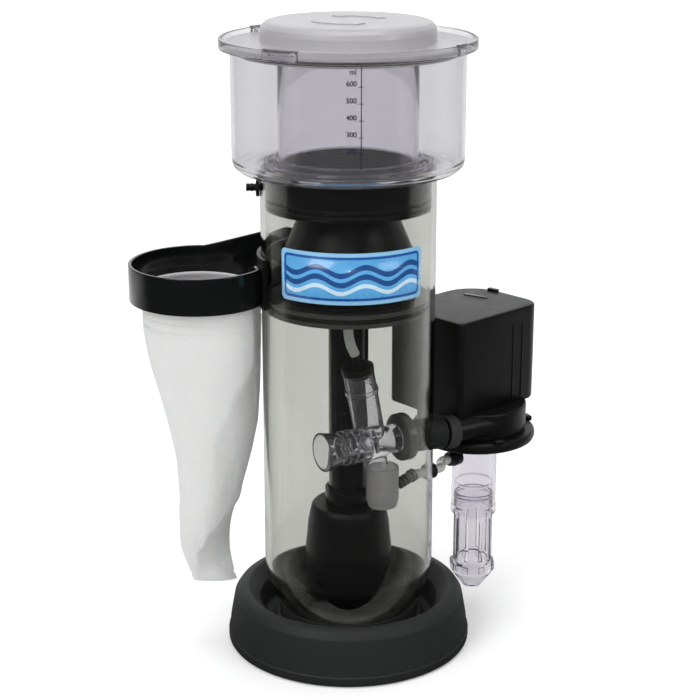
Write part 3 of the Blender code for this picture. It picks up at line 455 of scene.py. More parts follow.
def thicken(thing, thickness, offset):
    """Give a sheet a thickness in millimetres, on one side or about its middle."""
    step = thing.modifiers.new("thickness", "SOLIDIFY")
    step.thickness = thickness * MM
    step.offset = offset


def mesh_object(name, shape, material, sharp=35.0):
    """A smooth mesh with crisp edges where its faces meet at more than the sharp angle."""
    mesh = bpy.data.meshes.new(name)
    bmesh.ops.remove_doubles(shape, verts=shape.verts, dist=1e-7)
    shape.to_mesh(mesh)
    shape.free()
    mesh.shade_smooth()
    mesh.set_sharp_from_angle(angle=math.radians(sharp))
    if material is not None:
        mesh.materials.append(material)
    return show(name, mesh)


def revolve(name, profile, material, origin=Vector(), axis=UP, steps=ROUND_STEPS):
    """A solid of revolution whose outline runs down its outer side."""
    shape = bmesh.new()
    turn = axis.to_track_quat("Z", "Y")
    columns = []
    for step in range(steps):
        column = []
        for radius, height in profile:
            spot = on_circle(360.0 * step / steps, radius) + UP * height
            column.append(shape.verts.new(origin + turn @ spot))
        columns.append(column)
    count = len(profile)
    spans = count if profile[0][0] > ON_AXIS else count - 1
    for here, after in zip(columns, columns[1:] + columns[:1]):
        for i in range(spans):
            below = (i + 1) % count
            corners = [here[i], here[below], after[below], after[i]]
            if profile[i][0] < ON_AXIS:
                corners = corners[:3]
            elif profile[below][0] < ON_AXIS:
                corners = [corners[0], corners[1], corners[3]]
            shape.faces.new(corners)
    return mesh_object(name, shape, material)


def band(outer, inner, top, bottom):
    """A plain ring's outline."""
    return [(outer, top), (outer, bottom), (inner, bottom), (inner, top)]


def turned(name, points, slot, corner=0.0, origin=Vector(), axis=UP, steps=ROUND_STEPS):
    """A turned piece from (radius, height) points in millimetres, with its corners rounded."""
    profile = [(radius * MM, height * MM) for radius, height in points]
    if corner > 0:
        profile = soften(profile, corner * MM)
    return revolve(name, profile, MATERIALS[slot], origin, axis, steps)


def attach(thing, node):
    """A detail that rides with a CAD node's body."""
    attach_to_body(thing, BODY_OF[node])
    return thing


def stand_in_for(thing, node):
    """A piece takes the place and body of its CAD node, which is hidden."""
    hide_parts(node)
    return attach(thing, node)


def round_copy(node, axis=UP, corner=0.4, steps=ROUND_STEPS, origin=None):
    """A smooth many-sided copy of a turned CAD piece, with softened corners."""
    origin = origin or axis_point(node, axis)
    profile = soften(meridian(node, axis, origin), corner * MM)
    look = revolve(node + "_look", profile, MATERIALS[SLOT_OF[node]], origin, axis, steps)
    return stand_in_for(look, node)


def cut(thing, *cutters):
    """Cut closed shapes from a piece, then throw the cutters away."""
    for cutter in cutters:
        step = thing.modifiers.new("cut", "BOOLEAN")
        step.object = cutter
        step.solver = "EXACT"
    graph = bpy.context.evaluated_depsgraph_get()
    cut_mesh = bpy.data.meshes.new_from_object(thing.evaluated_get(graph))
    thing.modifiers.clear()
    thing.data = cut_mesh
    cut_mesh.shade_smooth()
    cut_mesh.set_sharp_from_angle(angle=math.radians(35))
    for cutter in cutters:
        bpy.data.objects.remove(cutter)


def drill(name, radius, middle, axis, half):
    """A cylinder to cut with, which reaches some millimetres either way from its middle."""
    radius, half = radius * MM, half * MM
    profile = [(0.0, half), (radius, half), (radius, -half), (0.0, -half)]
    return revolve(name, profile, None, middle, axis, SMALL_STEPS)


def box_shape(name, size, centre, turn=0.0, slot=None, bevel=0.0, segments=3):
    """A box of a size in millimetres, turned by some degrees about +Z, with its edges rounded."""
    shape = bmesh.new()
    bmesh.ops.create_cube(shape, size=1.0)
    bmesh.ops.scale(shape, vec=mm(*size), verts=shape.verts)
    if bevel > 0:
        bmesh.ops.bevel(shape, geom=list(shape.edges), offset=bevel * MM, segments=segments, profile=0.5,
                        affect="EDGES")
    turning = Matrix.Rotation(math.radians(turn), 3, "Z")
    for vertex in shape.verts:
        vertex.co = centre + turning @ vertex.co
    return mesh_object(name, shape, MATERIALS[slot] if slot else None)


def arc_points(centre, radii, start, end, count):
    """Points on an ellipse of the given radii, from start to end degrees."""
    points = []
    for i in range(count + 1):
        angle = math.radians(start + (end - start) * i / count)
        points.append((centre[0] + radii[0] * math.cos(angle), centre[1] + radii[1] * math.sin(angle)))
    return points


def skin(shape, lower, upper):
    """Faces between two closed loops of the same length."""
    count = len(lower)
    for i in range(count):
        after = (i + 1) % count
        shape.faces.new((lower[i], lower[after], upper[after], upper[i]))


def bent_plate(name, radius, azimuths, heights, thickness, material, steps=64, rows=2):
    """A thin plate bent round the vessel's axis, in millimetres, which are also its flat UVs."""
    shape = bmesh.new()
    layer = shape.loops.layers.uv.new("flat")
    middle = sum(azimuths) / 2
    grid = []
    for i in range(steps + 1):
        azimuth = azimuths[0] + (azimuths[1] - azimuths[0]) * i / steps
        column = []
        for j in range(rows):
            z = heights[0] + (heights[1] - heights[0]) * j / (rows - 1)
            vertex = shape.verts.new((on_circle(azimuth, radius) + UP * z) * MM)
            column.append((vertex, (math.radians(azimuth - middle) * radius, z - sum(heights) / 2)))
        grid.append(column)
    for here, after in zip(grid, grid[1:]):
        for j in range(rows - 1):
            corners = [here[j], after[j], after[j + 1], here[j + 1]]
            face = shape.faces.new([vertex for vertex, flat in corners])
            for loop, (vertex, flat) in zip(face.loops, corners):
                loop[layer].uv = flat
    plate = mesh_object(name, shape, material)
    thicken(plate, thickness, 1.0)
    return plate


def tube_path(name, points, radius, slot):
    """A smooth round hose or cable through points."""
    curve = bpy.data.curves.new(name, "CURVE")
    curve.dimensions = "3D"
    curve.bevel_depth = radius * MM
    curve.bevel_resolution = 6
    curve.resolution_u = 12
    curve.use_fill_caps = True
    spline = curve.splines.new("BEZIER")
    spline.bezier_points.add(len(points) - 1)
    for knot, point in zip(spline.bezier_points, points):
        knot.co = point
        knot.handle_left_type = "AUTO"
        knot.handle_right_type = "AUTO"
    curve.materials.append(MATERIALS[slot])
    return show(name, curve)


# ---- base and vessel

def make_base():
    """The weighted base, and the ring in it that carries the vessel."""
    round_copy("weighted_base", corner=3.2)
    round_copy("vessel_seat_ring")


def make_vessel():
    """The clear tube with its round bottom, cut for the outlet window and the two ports."""
    low, high = size_of("reactor_vessel")
    outer = high.x
    bore = size_of("neck_collar")[1].x + CAD_GAP
    dome_z = low.z + outer
    inside = arc_points((0.0, dome_z), (bore, bore), -90.0, 0.0, 28)
    outside = arc_points((0.0, dome_z), (outer, outer), 0.0, -90.0, 28)
    inside[0] = (0.0, inside[0][1])
    outside[-1] = (0.0, outside[-1][1])
    lip = 0.5
    rim = [(bore, high.z - lip), (bore + lip, high.z), (outer - lip, high.z), (outer, high.z - lip)]
    vessel = turned("reactor_vessel_look", inside + rim + outside, "clear_acrylic")
    window = box_shape("window", VESSEL_WINDOW, mm(-outer, 0, WINDOW_Z))
    gasket = centre_of("port_gasket")
    line = (centre_of("coupling_sleeve") - gasket).normalized()
    port = drill("port", PORT_HOLE_R, gasket, line, 14.0)
    hole = drill("hole", HOSE_HOLE_R, centre_of("hose_grommet"), GROMMET_AXIS, 9.0)
    cut(vessel, window, port, hole)
    stand_in_for(vessel, "reactor_vessel")


def make_label():
    """The printed plate, as wide as its CAD node and bent to the vessel's front."""
    low, high = size_of("front_label")
    radius = size_of("reactor_vessel")[1].x + CAD_GAP
    outside = radius + LABEL_THICKNESS
    start, end = (-90.0 + math.degrees(math.asin(x / outside)) for x in (low.x, high.x))
    film = label_print("label_print", math.radians(end - start) * radius, high.z - low.z, LABEL_CORNER)
    plate = bent_plate("front_label_look", radius, (start, end), (low.z, high.z), 0.12, film)
    stand_in_for(plate, "front_label")


# ---- inside the vessel

def make_inside():
    """The divider with its foam holes, the bell on it, and the standpipe in its pot."""
    for node in ("divider_seal", "foam_bell", "standpipe_collar"):
        round_copy(node, corner=0.8)
    divider = round_copy("divider_plate", corner=0.6)
    low, high = size_of("divider_plate")
    holes = []
    for i in range(4):
        middle = (on_circle(65.0 + 90.0 * i, 27.0) + UP * (low.z + high.z) / 2) * MM
        holes.append(drill(f"foam_hole_{i}", 7.0, middle, UP, 20.0))
    cut(divider, *holes)
    round_copy("standpipe", corner=0.3)
    make_pot()
    low, high = size_of("foam_bell")
    lip = band(high.x + 0.9, high.x - 0.4, low.z + 1.5, low.z + 0.1)
    attach(turned("foam_bell_lip", lip, "rubber_grey", 0.5), "foam_bell")


def make_pot():
    """The bullet-shaped pot at the foot of the standpipe, with two turned steps."""
    low, high = size_of("flow_pot")
    top, radius = high.z, high.x
    middle = 60.0
    depth = (middle - low.z) / math.sin(math.radians(75))
    outside = [(10.8, top), (22.6, top), (24.0, top - 1.2), (25.0, top - 5.0), (26.6, top - 13.0)]
    outside += arc_points((0.0, middle), (radius, depth), 14.0, -75.0, 40)
    stepped = []
    for r, z in outside:
        for edge_z, proud in ((61.5, 0.5), (48.5, 0.35)):
            if z < edge_z:
                r -= proud
        stepped.append((r, z))
    inside = arc_points((0.0, middle), (radius - 3.0, depth - 3.0), -75.0, 14.0, 24)
    inside += [(22.0, top - 2.4), (10.8, top - 2.4)]
    stand_in_for(turned("flow_pot_look", stepped + inside, "satin_black"), "flow_pot")


# ---- cup and lid

def make_cup():
    """The clear cup on its black collar, with the riser in its middle."""
    cup = round_copy("cup_outer", corner=1.0)
    cup.data.materials[0] = MATERIALS["cup_wall"]
    round_copy("cup_riser", corner=0.8)
    round_copy("neck_collar", corner=0.5)
    attach(turned("neck_lip", band(41.0, 39.2, 324.0, 313.0), "gloss_black", 0.5), "neck_collar")
    for node in ("neck_oring_upper", "neck_oring_lower"):
        round_copy(node, corner=0.8)
    round_copy("collar_pin", on_circle(-128.0), corner=0.6, steps=SMALL_STEPS)
    make_boss_rings()
    make_tabs()
    make_scale()


def make_boss_rings():
    """Two low rings moulded round the mouth in the cup's floor."""
    low, high = size_of("cup_riser")
    for i, (gap, height) in enumerate(((1.2, 5.0), (6.5, 2.6))):
        outline = band(high.x + gap + 2.0, high.x + gap, low.z + height, low.z - 0.2)
        attach(turned(f"cup_boss_{i + 1}", outline, "clear_lavender", 0.8), "cup_outer")


def make_tabs():
    """The bayonet's four tabs on the cup's rim, one of them a long ramp, each with a catch."""
    high = size_of("cup_outer")[1]
    plates = (("tab", 1.0, 2.1, -5.8, 0.6, 2.5), ("catch", 0.7, 5.6, -3.1, -1.4, 3.4))
    for i, (azimuth, half) in enumerate(((-32.0, 3.0), (-120.0, 8.5), (139.0, 3.0), (60.0, 3.0))):
        for name, share, inset, bottom, top, thickness in plates:
            span = (azimuth - half * share, azimuth + half * share)
            plate = bent_plate(f"rim_{name}_{i + 1}", high.x - inset, span, (high.z + bottom, high.z + top),
                               thickness, MATERIALS["clear_lavender"], steps=16)
            attach(plate, "cup_outer")


def print_text(name, text, size, offset, height, radius, azimuth):
    """A small printed number or unit on the cup's wall, placed in millimetres."""
    font = bpy.data.curves.new(name, "FONT")
    font.body = text
    font.size = size * MM
    font.extrude = 0.04 * MM
    font.align_x = "RIGHT"
    font.offset = 0.11 * MM
    maker = show(name, font)
    graph = bpy.context.evaluated_depsgraph_get()
    graph.update()
    mesh = bpy.data.meshes.new_from_object(maker.evaluated_get(graph))
    bpy.data.objects.remove(maker)
    mesh.materials.clear()
    mesh.materials.append(INK)
    for vertex in mesh.vertices:
        turn = azimuth + math.degrees((vertex.co.x / MM + offset) / radius)
        vertex.co = on_circle(turn, radius * MM + vertex.co.z) + UP * (vertex.co.y + height * MM)
    return show(name, mesh)


def make_scale():
    """The printed volume scale on the front of the cup."""
    low, high = size_of("cup_outer")
    radius = CUP_R + 0.06
    azimuth = -90.0
    line = 7.5
    foot, top = low.z + 13.2, high.z - 8.2
    marks = [foot + 8.8 + MARK_GAP * i for i in range(5)]

    def stripe(name, x0, x1, z0, z1):
        ends = [azimuth + math.degrees(x / radius) for x in (x0, x1)]
        attach(bent_plate(name, radius, ends, (z0, z1), 0.05, INK, steps=6), "cup_outer")

    def write(name, text, size, offset, z):
        attach(print_text(name, text, size, line + offset, z, radius, azimuth), "cup_outer")

    stripe("scale_line", line - 0.28, line + 0.28, foot, top)
    stripe("scale_head", line - 2.6, line + 3.2, top, top + 0.55)
    for i, z in enumerate(marks):
        stripe(f"scale_mark_{i + 2}00", line - 1.6, line + 1.6, z - 0.25, z + 0.25)
        write(f"scale_number_{i + 2}00", f"{i + 2}00", 4.1, -2.6, z + 0.5)
    write("scale_unit", "ml", 4.0, -2.8, marks[-1] + 7.2)


def make_lid():
    """The frosted lid with its gasket."""
    round_copy("lid_seal", corner=0.6)
    round_copy("lid", corner=0.9)
    for i in range(2):
        attach(turn_arrow(f"lid_arrow_{i + 1}", 180.0 * i), "lid")


def turn_arrow(name, turn):
    """A raised curved arrow that shows which way the lid turns."""
    outer, inner, steps = 24.0, 19.0, 18
    foot_z = size_of("lid")[1].z - 0.2
    head = turn + 98.0
    places = [(head - 78.0 + 78.0 * i / steps, outer, inner) for i in range(steps + 1)]
    places.append((head, outer + 4.0, inner - 4.0))
    outline = [on_circle(azimuth, far) for azimuth, far, near in places]
    outline.append(on_circle(head + 20.0, (outer + inner) / 2))
    outline += [on_circle(azimuth, near) for azimuth, far, near in reversed(places)]
    shape = bmesh.new()
    face = shape.faces.new([shape.verts.new((spot + UP * foot_z) * MM) for spot in outline])
    raised = bmesh.ops.extrude_face_region(shape, geom=[face])
    for item in raised["geom"]:
        if isinstance(item, bmesh.types.BMVert):
            item.co.z += 0.7 * MM
    bmesh.ops.recalc_face_normals(shape, faces=shape.faces)
    return mesh_object(name, shape, MATERIALS["frosted"])


# ---- air side

def make_air_side():
    """The nipple, the air chamber, the regulator and the hoses with their fittings."""
    round_copy("air_nipple", Vector((-1, 0, 0)), corner=0.25, steps=SMALL_STEPS)
    round_copy("air_chamber_cap", CHAMBER_AXIS, corner=0.7, steps=MEDIUM_STEPS)
    round_copy("regulator_cup", corner=0.7, steps=MEDIUM_STEPS)
    round_copy("hose_connector", CONNECTOR_AXIS, corner=0.35, steps=SMALL_STEPS)
    round_copy("hose_grommet", GROMMET_AXIS, corner=0.6, steps=SMALL_STEPS)
    round_copy("suction_elbow", ELBOW_AXIS, corner=0.5, steps=SMALL_STEPS)
    make_chamber()
    make_hoses()


def chamber_point(z):
    """The point on the air chamber's axis at a height in millimetres."""
    cap = centre_of("air_chamber_cap")
    return cap + CHAMBER_AXIS * ((z * MM - cap.z) / CHAMBER_AXIS.z)


def make_chamber():
    """The inclined clear tube above the injector, its lower end below it and its clamp band."""
    tubes = (("air_chamber", 9.8, 1.6, 192.0, -2.0), ("intake_tube", 8.2, 1.4, 140.0, 1.6))
    for node, outer, wall, top_z, shift in tubes:
        foot = chamber_point(size_of(node)[0].z) + CHAMBER_AXIS * shift * MM
        length = (chamber_point(top_z) - foot).length / MM
        tube = turned(node + "_look", band(outer, outer - wall, length, 0.0), "clear_lavender", 0.5, foot,
                      CHAMBER_AXIS, MEDIUM_STEPS)
        cut(tube, drill("saddle", 10.9, centre_of("injector_body"), PUMP_LINE, 26.0))
        stand_in_for(tube, node)
    collar = turned("air_chamber_band", band(10.6, 9.9, 1.5, -1.5), "clear_lavender", 0.3,
                    chamber_point(180.0), CHAMBER_AXIS, MEDIUM_STEPS)
    attach(collar, "air_chamber")


def make_hoses():
    """The air hose to the divider, and the suction hose through the vessel's wall to the pump."""
    low, high = size_of("air_hose")
    points = [chamber_point(low.z + 1.2), mm(1.5, -29.5, 211.0), mm(0.0, -31.0, 220.0),
              mm(0.0, -31.0, high.z)]
    stand_in_for(tube_path("air_hose_look", points, HOSE_R, "milky_hose"), "air_hose")
    end = mm(39.5, -6.1, 114.0)
    grommet = centre_of("hose_grommet")
    elbow = centre_of("suction_elbow")
    pump = axis_point("suction_pipe") + UP * elbow.z
    outward = (elbow - pump).normalized()
    foot = pump + outward * 25.6 * MM
    points = [end, end + CONNECTOR_AXIS * 2.6 * MM]
    points += [grommet + GROMMET_AXIS * reach * MM for reach in (-4.0, 4.0, 8.0)]
    points += [mm(61.5, 18.0, 112.4), foot + outward * 5.4 * MM + UP * 0.3 * MM, foot]
    stand_in_for(tube_path("suction_hose_look", points, HOSE_R, "milky_hose"), "suction_hose")
    clip = turned("hose_clip", band(4.3, 3.2, 2.0, -2.0), "smoke_grey", 0.4,
                  end + CONNECTOR_AXIS * 2.2 * MM, CONNECTOR_AXIS, SMALL_STEPS)
    attach(clip, "hose_connector")


# ---- injector

def make_injector():
    """The injector's body with its ribs, its bell and its way out to the pump."""
    for node in ("injector_bell", "injector_socket"):
        round_copy(node, PUMP_LINE, corner=0.6, steps=MEDIUM_STEPS)
    origin = centre_of("injector_bell")
    round_copy("injector_body", PUMP_LINE, corner=1.6, steps=MEDIUM_STEPS, origin=origin)
    for i in range(4):
        place = origin + PUMP_LINE * (9.0 + 5.0 * i) * MM
        rib = turned(f"injector_rib_{i + 1}", band(11.2, 10.2, 0.7, -0.7), "clear_lavender", 0.4, place,
                     PUMP_LINE, MEDIUM_STEPS)
        attach(rib, "injector_body")
    port = (centre_of("coupling_sleeve") - centre_of("port_gasket")).normalized()
    for node in ("port_pipe", "port_gasket", "coupling_sleeve"):
        round_copy(node, port, corner=0.7, steps=64)


# ---- pump

def motor_spans():
    """The housing's lowest and highest corner in its own turned axes, in millimetres."""
    values = []
    for vertex in frame["nodes"]["motor_housing"].data.vertices:
        spot = vertex.co / MM
        values.append((spot.dot(MOTOR_ALONG), spot.dot(MOTOR_ACROSS), spot.z))
    spans = list(zip(*values))
    return Vector([min(span) for span in spans]), Vector([max(span) for span in spans])


def motor_spot(along, across, z):
    """A place in the housing's own turned axes, from millimetres."""
    return (MOTOR_ALONG * along + MOTOR_ACROSS * across + UP * z) * MM


def make_motor():
    """The pump's housing: a box with rounded edges and a wide round corner at the back right."""
    low, high = motor_spans()
    low.z -= 2.4
    middle, half = (low + high) / 2, (high - low) / 2
    corners = ((low.x, low.y, 4.0), (high.x, low.y, 12.0), (high.x, high.y, 24.0), (low.x, high.y, 5.0))
    outline = []
    for i, (along, across, radius) in enumerate(corners):
        centre = (along + math.copysign(radius, middle.x - along),
                  across + math.copysign(radius, middle.y - across))
        outline += arc_points(centre, (radius, radius), 180.0 + 90.0 * i, 270.0 + 90.0 * i, 10)
    levels = [(low.z, 1.4), (low.z + 0.4, 0.5), (low.z + 1.4, 0.1), (low.z + 30.0, 0.0), (high.z - 1.6, 0.0),
              (high.z - 0.9, 0.15), (high.z - 0.35, 0.55), (high.z - 0.05, 1.2), (high.z, 2.0)]
    shape = bmesh.new()
    rings = []
    for z, inset in levels:
        ring = []
        for along, across in outline:
            spot = motor_spot(middle.x + (along - middle.x) * (1 - inset / half.x),
                              middle.y + (across - middle.y) * (1 - inset / half.y), z)
            ring.append(shape.verts.new(spot))
        rings.append(ring)
    for lower, upper in zip(rings, rings[1:]):
        skin(shape, lower, upper)
    shape.faces.new(rings[-1])
    shape.faces.new(list(reversed(rings[0])))
    housing = mesh_object("motor_housing_look", shape, MATERIALS["satin_black"], 28.0)
    stand_in_for(housing, "motor_housing")
    make_motor_details(low, high)


def make_motor_details(low, high):
    """Low ribs down the right face, a pressed mark and a tab on top, and the cable's entry."""
    middle_z = (low.z + high.z) / 2
    boxes = [(f"motor_rib_{i + 1}", (1.4, 0.9, 52.0), (low.x + along, low.y, middle_z - 3.0), 0.0,
              "satin_black", 0.4) for i, along in enumerate((51.0, 60.0))]
    boxes.append(("motor_top_mark", (18.0, 3.0, 0.9), (low.x + 57.7, low.y + 40.8, high.z + 0.1), -77.5,
                  "gloss_black", 0.4))
    boxes.append(("motor_tab", (4.0, 8.0, 3.6), (high.x - 2.2, low.y + 42.0, high.z - 0.2), 0.0,
                  "gloss_black", 0.8))
    for name, size, place, turn, slot, bevel in boxes:
        attach(box_shape(name, size, motor_spot(*place), MOTOR_TURN + turn, slot, bevel), "motor_housing")
    round_copy("cable_gland", MOTOR_ACROSS, corner=0.7, steps=SMALL_STEPS)
    gland = centre_of("cable_gland")
    reaches = ((-10.0, 0.0), (0.0, 0.0), (6.0, 0.0), (12.4, 6.0), (14.4, 17.0), (12.4, 50.0))
    points = [gland + (MOTOR_ACROSS * reach - UP * drop) * MM for reach, drop in reaches]
    stand_in_for(tube_path("power_cable_look", points, CABLE_R, "rubber_black"), "power_cable")


def make_pump():
    """The pump's round chamber with its outlet stub, and the cover below it with its lugs."""
    pump = axis_point("volute_cover")
    low, high = size_of("pump_volute")
    chamber = [(0.0, high.z), (VOLUTE_R, high.z), (VOLUTE_R, low.z), (0.0, low.z)]
    stand_in_for(turned("pump_volute_look", chamber, "satin_black", 1.4, pump), "pump_volute")
    stub_start = centre_of("coupling_sleeve") + PUMP_LINE * 1.5 * MM
    stub_start.z = OUTLET_Z * MM
    stub = [(0.0, 37.0), (7.8, 37.0), (7.8, 0.0), (0.0, 0.0)]
    attach(turned("outlet_stub", stub, "satin_black", 0.6, stub_start, PUMP_LINE, 64), "pump_volute")
    low, high = size_of("volute_cover")
    radius = (high.x - low.x) / 2
    rim = [(12.0, high.z), (radius - 1.8, high.z), (radius - 0.4, high.z - 1.2), (radius, high.z - 3.0),
           (radius, low.z + 3.4), (radius - 0.9, low.z + 1.2), (radius - 2.6, low.z + 0.2),
           (radius - 4.4, low.z), (12.0, low.z)]
    stand_in_for(turned("volute_cover_look", rim, "satin_black", 0.8, pump), "volute_cover")
    for i in range(4):
        azimuth = -70.0 + 90.0 * i
        spot = pump + (on_circle(azimuth, radius - 1.2) + UP * (high.z + 0.8)) * MM
        lug = box_shape(f"cover_lug_{i + 1}", (7.0, 4.2, 3.6), spot, azimuth + 90.0, "satin_black", 0.9)
        attach(lug, "volute_cover")
    make_suction(pump)


def make_suction(pump):
    """The clear pipe with its stepped socket and beads, and the slotted strainer in it."""
    low, high = size_of("suction_pipe")
    outer, bore = (high.x - low.x) / 2, 13.6
    wall = [(outer, high.z), (outer, high.z - 10.0), (outer - 0.4, high.z - 11.0),
            (outer - 0.4, low.z + 6.0), (outer, low.z + 5.0), (outer, low.z + 1.0),
            (outer - 0.8, low.z), (bore, low.z), (bore, high.z)]
    stand_in_for(turned("suction_pipe_look", wall, "clear_lavender", 0.6, pump), "suction_pipe")
    for i, rise in enumerate((22.0, 12.0)):
        bead = turned(f"pipe_bead_{i + 1}", band(13.4, 11.8, 0.9, -0.9), "clear_lavender", 0.7,
                      pump + UP * (low.z + rise) * MM, UP, MEDIUM_STEPS)
        attach(bead, "suction_pipe")
    strainer = round_copy("strainer", corner=0.5, steps=MEDIUM_STEPS)
    middle = pump + UP * 48.5 * MM
    cut(strainer, *(box_shape(f"slot_{i}", (40.0, 2.2, 30.0), middle, (i + 0.5) * 45.0) for i in range(4)))
    for i in range(8):
        azimuth = 45.0 * i + 22.5
        spot = pump + (on_circle(azimuth, 14.9) + UP * 27.8) * MM
        knob = box_shape(f"strainer_knob_{i + 1}", (1.8, 4.4, 5.0), spot, azimuth, "clear_lavender", 0.6, 2)
        attach(knob, "strainer")


# ---- bag and its holder

def strap_path():
    """The middle of the strap as (x, y, top), from the vessel's front left round to its back."""
    flare = 11.0
    path = [(*on_circle(azimuth, 59.0).xy, STRAP_TOP) for azimuth in (190.5, 193.0, 196.0, 199.5)]
    path += [(x, y, STRAP_TOP) for x, y in arc_points((-94.0, 0.0), (43.4, 43.4), -36.0, -270.0, 70)]
    sweep = [(-83.0, 44.7), (-72.0, 47.1), (-61.0, 49.7), (-51.0, 51.1), (-43.5, 49.6)]
    path += [(x, y, STRAP_TOP + flare * (i + 1) / len(sweep)) for i, (x, y) in enumerate(sweep)]
    path += [(*on_circle(azimuth, 59.0).xy, STRAP_TOP + flare) for azimuth in (129.5, 125.0, 120.5)]
    return path


def smooth_path(path, steps):
    """A Catmull-Rom curve through points, with steps on each span."""
    padded = [path[0]] + list(path) + [path[-1]]
    curve = []
    for spots in zip(padded, padded[1:], padded[2:], padded[3:]):
        for k in range(steps):
            t = k / steps
            point = []
            for a, b, c, d in zip(*spots):
                square, cube = 2 * a - 5 * b + 4 * c - d, 3 * b - a - 3 * c + d
                point.append(0.5 * (2 * b + (c - a) * t + square * t * t + cube * t ** 3))
            curve.append(tuple(point))
    curve.append(tuple(path[-1]))
    return curve


def make_holder():
    """The bent strap that holds the bag, with its saddle and its two slotted screws."""
    low = size_of("bag_holder")[0]
    shape = bmesh.new()
    rows = []
    for x, y, top in smooth_path(strap_path(), 3):
        rows.append([shape.verts.new(mm(x, y, z)) for z in (low.z, (low.z + top) / 2, top)])
    for here, after in zip(rows, rows[1:]):
        for j in range(2):
            shape.faces.new((here[j], after[j], after[j + 1], here[j + 1]))
    strap = mesh_object("bag_holder_look", shape, MATERIALS["gloss_black"])
    thicken(strap, 2.2, 0.0)
    rounding = strap.modifiers.new("edges", "BEVEL")
    rounding.width = 0.6 * MM
    rounding.segments = 3
    rounding.limit_method = "ANGLE"
    rounding.angle_limit = math.radians(50)
    stand_in_for(strap, "bag_holder")
    make_saddle()
    for i, azimuth in enumerate((195.0, 125.0)):
        node = f"holder_screw_{i + 1}"
        screw = round_copy(node, on_circle(azimuth), corner=0.5, steps=SMALL_STEPS)
        slot_spot = on_circle(azimuth, 62.9 * MM) + UP * centre_of(node).z
        cut(screw, box_shape("slot", (1.6, 0.8, 4.0), slot_spot, azimuth))


def make_saddle():
    """The bent plate between the vessel and the strap, cut for the water's way out."""
    low, high = size_of("holder_saddle")
    radius = size_of("reactor_vessel")[1].x + CAD_GAP
    saddle = bent_plate("holder_saddle_look", radius, (118.0, 204.0), (low.z, high.z), 2.2,
                        MATERIALS["satin_black"], 48, 4)
    cut(saddle, box_shape("window", SADDLE_WINDOW, mm(-radius, 0, WINDOW_Z)))
    stand_in_for(saddle, "holder_saddle")


def bag_levels():
    """The bag's height, centre, half width and half depth, read off its CAD shell."""
    rows = {}
    for vertex in frame["nodes"]["filter_bag"].data.vertices:
        rows.setdefault(round(vertex.co.z, 4), []).append(vertex.co)
    levels = []
    for z, spots in sorted(rows.items(), reverse=True):
        xs = [spot.x for spot in spots]
        ys = [spot.y for spot in spots]
        width, depth = (max(xs) - min(xs)) / 2, (max(ys) - min(ys)) / 2
        if levels and levels[-1][0] - z < 4 * MM:
            if width <= levels[-1][2]:
                continue
            levels.pop()
        levels.append((z, (max(xs) + min(xs)) / 2, width, depth))
    return levels


def ease(value, start, end):
    """A smooth step from 0 at start to 1 at end."""
    share = min(1.0, max(0.0, (value - start) / (end - start)))
    return share * share * (3 - 2 * share)


def follow(z, points):
    """A value read at a height from (height, value) points that run downward."""
    for (high, before), (low, after) in zip(points, points[1:]):
        if z >= low:
            share = min(1.0, (high - z) / (high - low))
            return before + (after - before) * ease(share, 0.0, 1.0)
    return points[-1][1]


def share_between(angle, start, end):
    """How far an angle has come from start to end, from 0 to 1, or 0 outside them."""
    angle = (angle + math.pi) % math.tau - math.pi
    share = (angle - start) / (end - start)
    return share if 0 < share < 1 else 0.0


def flat_between(angle, start, end):
    """How far a chord from one angle to another lies inside the round, as a share of the radius."""
    half = (end - start) / 2
    return 1 - math.cos(half) / math.cos(half * (2 * share_between(angle, start, end) - 1))


def soft_panel(angle, z):
    """The wide shallow hollow on the bag's right, as a share of the radius."""
    ridge = math.radians(follow(z, [(0.204, 0.0), (0.190, -44.0), (0.170, -70.0), (0.143, -88.0),
                                    (0.090, -96.0)]))
    share = share_between(angle, ridge, math.radians(22.0))
    hollow = 0.135 * math.sin(math.pi * share ** 0.85) ** 1.8
    return hollow * ease(z, 0.208, 0.176) * ease(z, 0.078, 0.108)


def sharp_panel(angle, z):
    """The flat panel under the bag's diagonal crease, as a share of the radius."""
    crease = math.radians(follow(z, [(0.098, -36.0), (0.087, -55.0), (0.074, -83.0), (0.058, -112.0),
                                     (0.044, -136.0)]))
    return 0.9 * flat_between(angle, crease, math.radians(14.0)) * ease(z, 0.104, 0.088)


def bag_fold(angle, fall, z):
    """How far the felt stands in or out at a place, in millimetres."""
    loose = ease(fall, 0.04, 0.5)
    folds = 0.5 * math.sin(3 * angle + 1.1 + 2 * fall) + 0.3 * math.sin(5 * angle - 0.7 - 3 * fall)
    beside = math.exp(-(math.cos((angle + 1.7) / 2) - 1) ** 2 / 0.1)
    sag = -0.9 * math.exp(-((z - 0.197) / 0.006) ** 2) * beside
    spot = Vector((math.cos(angle) * 1.6, math.sin(angle) * 1.6, z / MM / 34.0))
    crumple = 1.5 * noise.noise(spot) + 0.35 * noise.noise(spot * 2.9)
    return loose * folds + sag + crumple * (0.35 + 0.35 * loose)


def beside_tube(x, y):
    """Keep the felt off the saddle, and off the strap's screwed end at the front."""
    clear = (58.4 + 4.0 * ease(-y, 4 * MM, 10 * MM)) * MM
    if x * x + y * y >= clear * clear:
        return x
    return -math.sqrt(clear * clear - y * y)


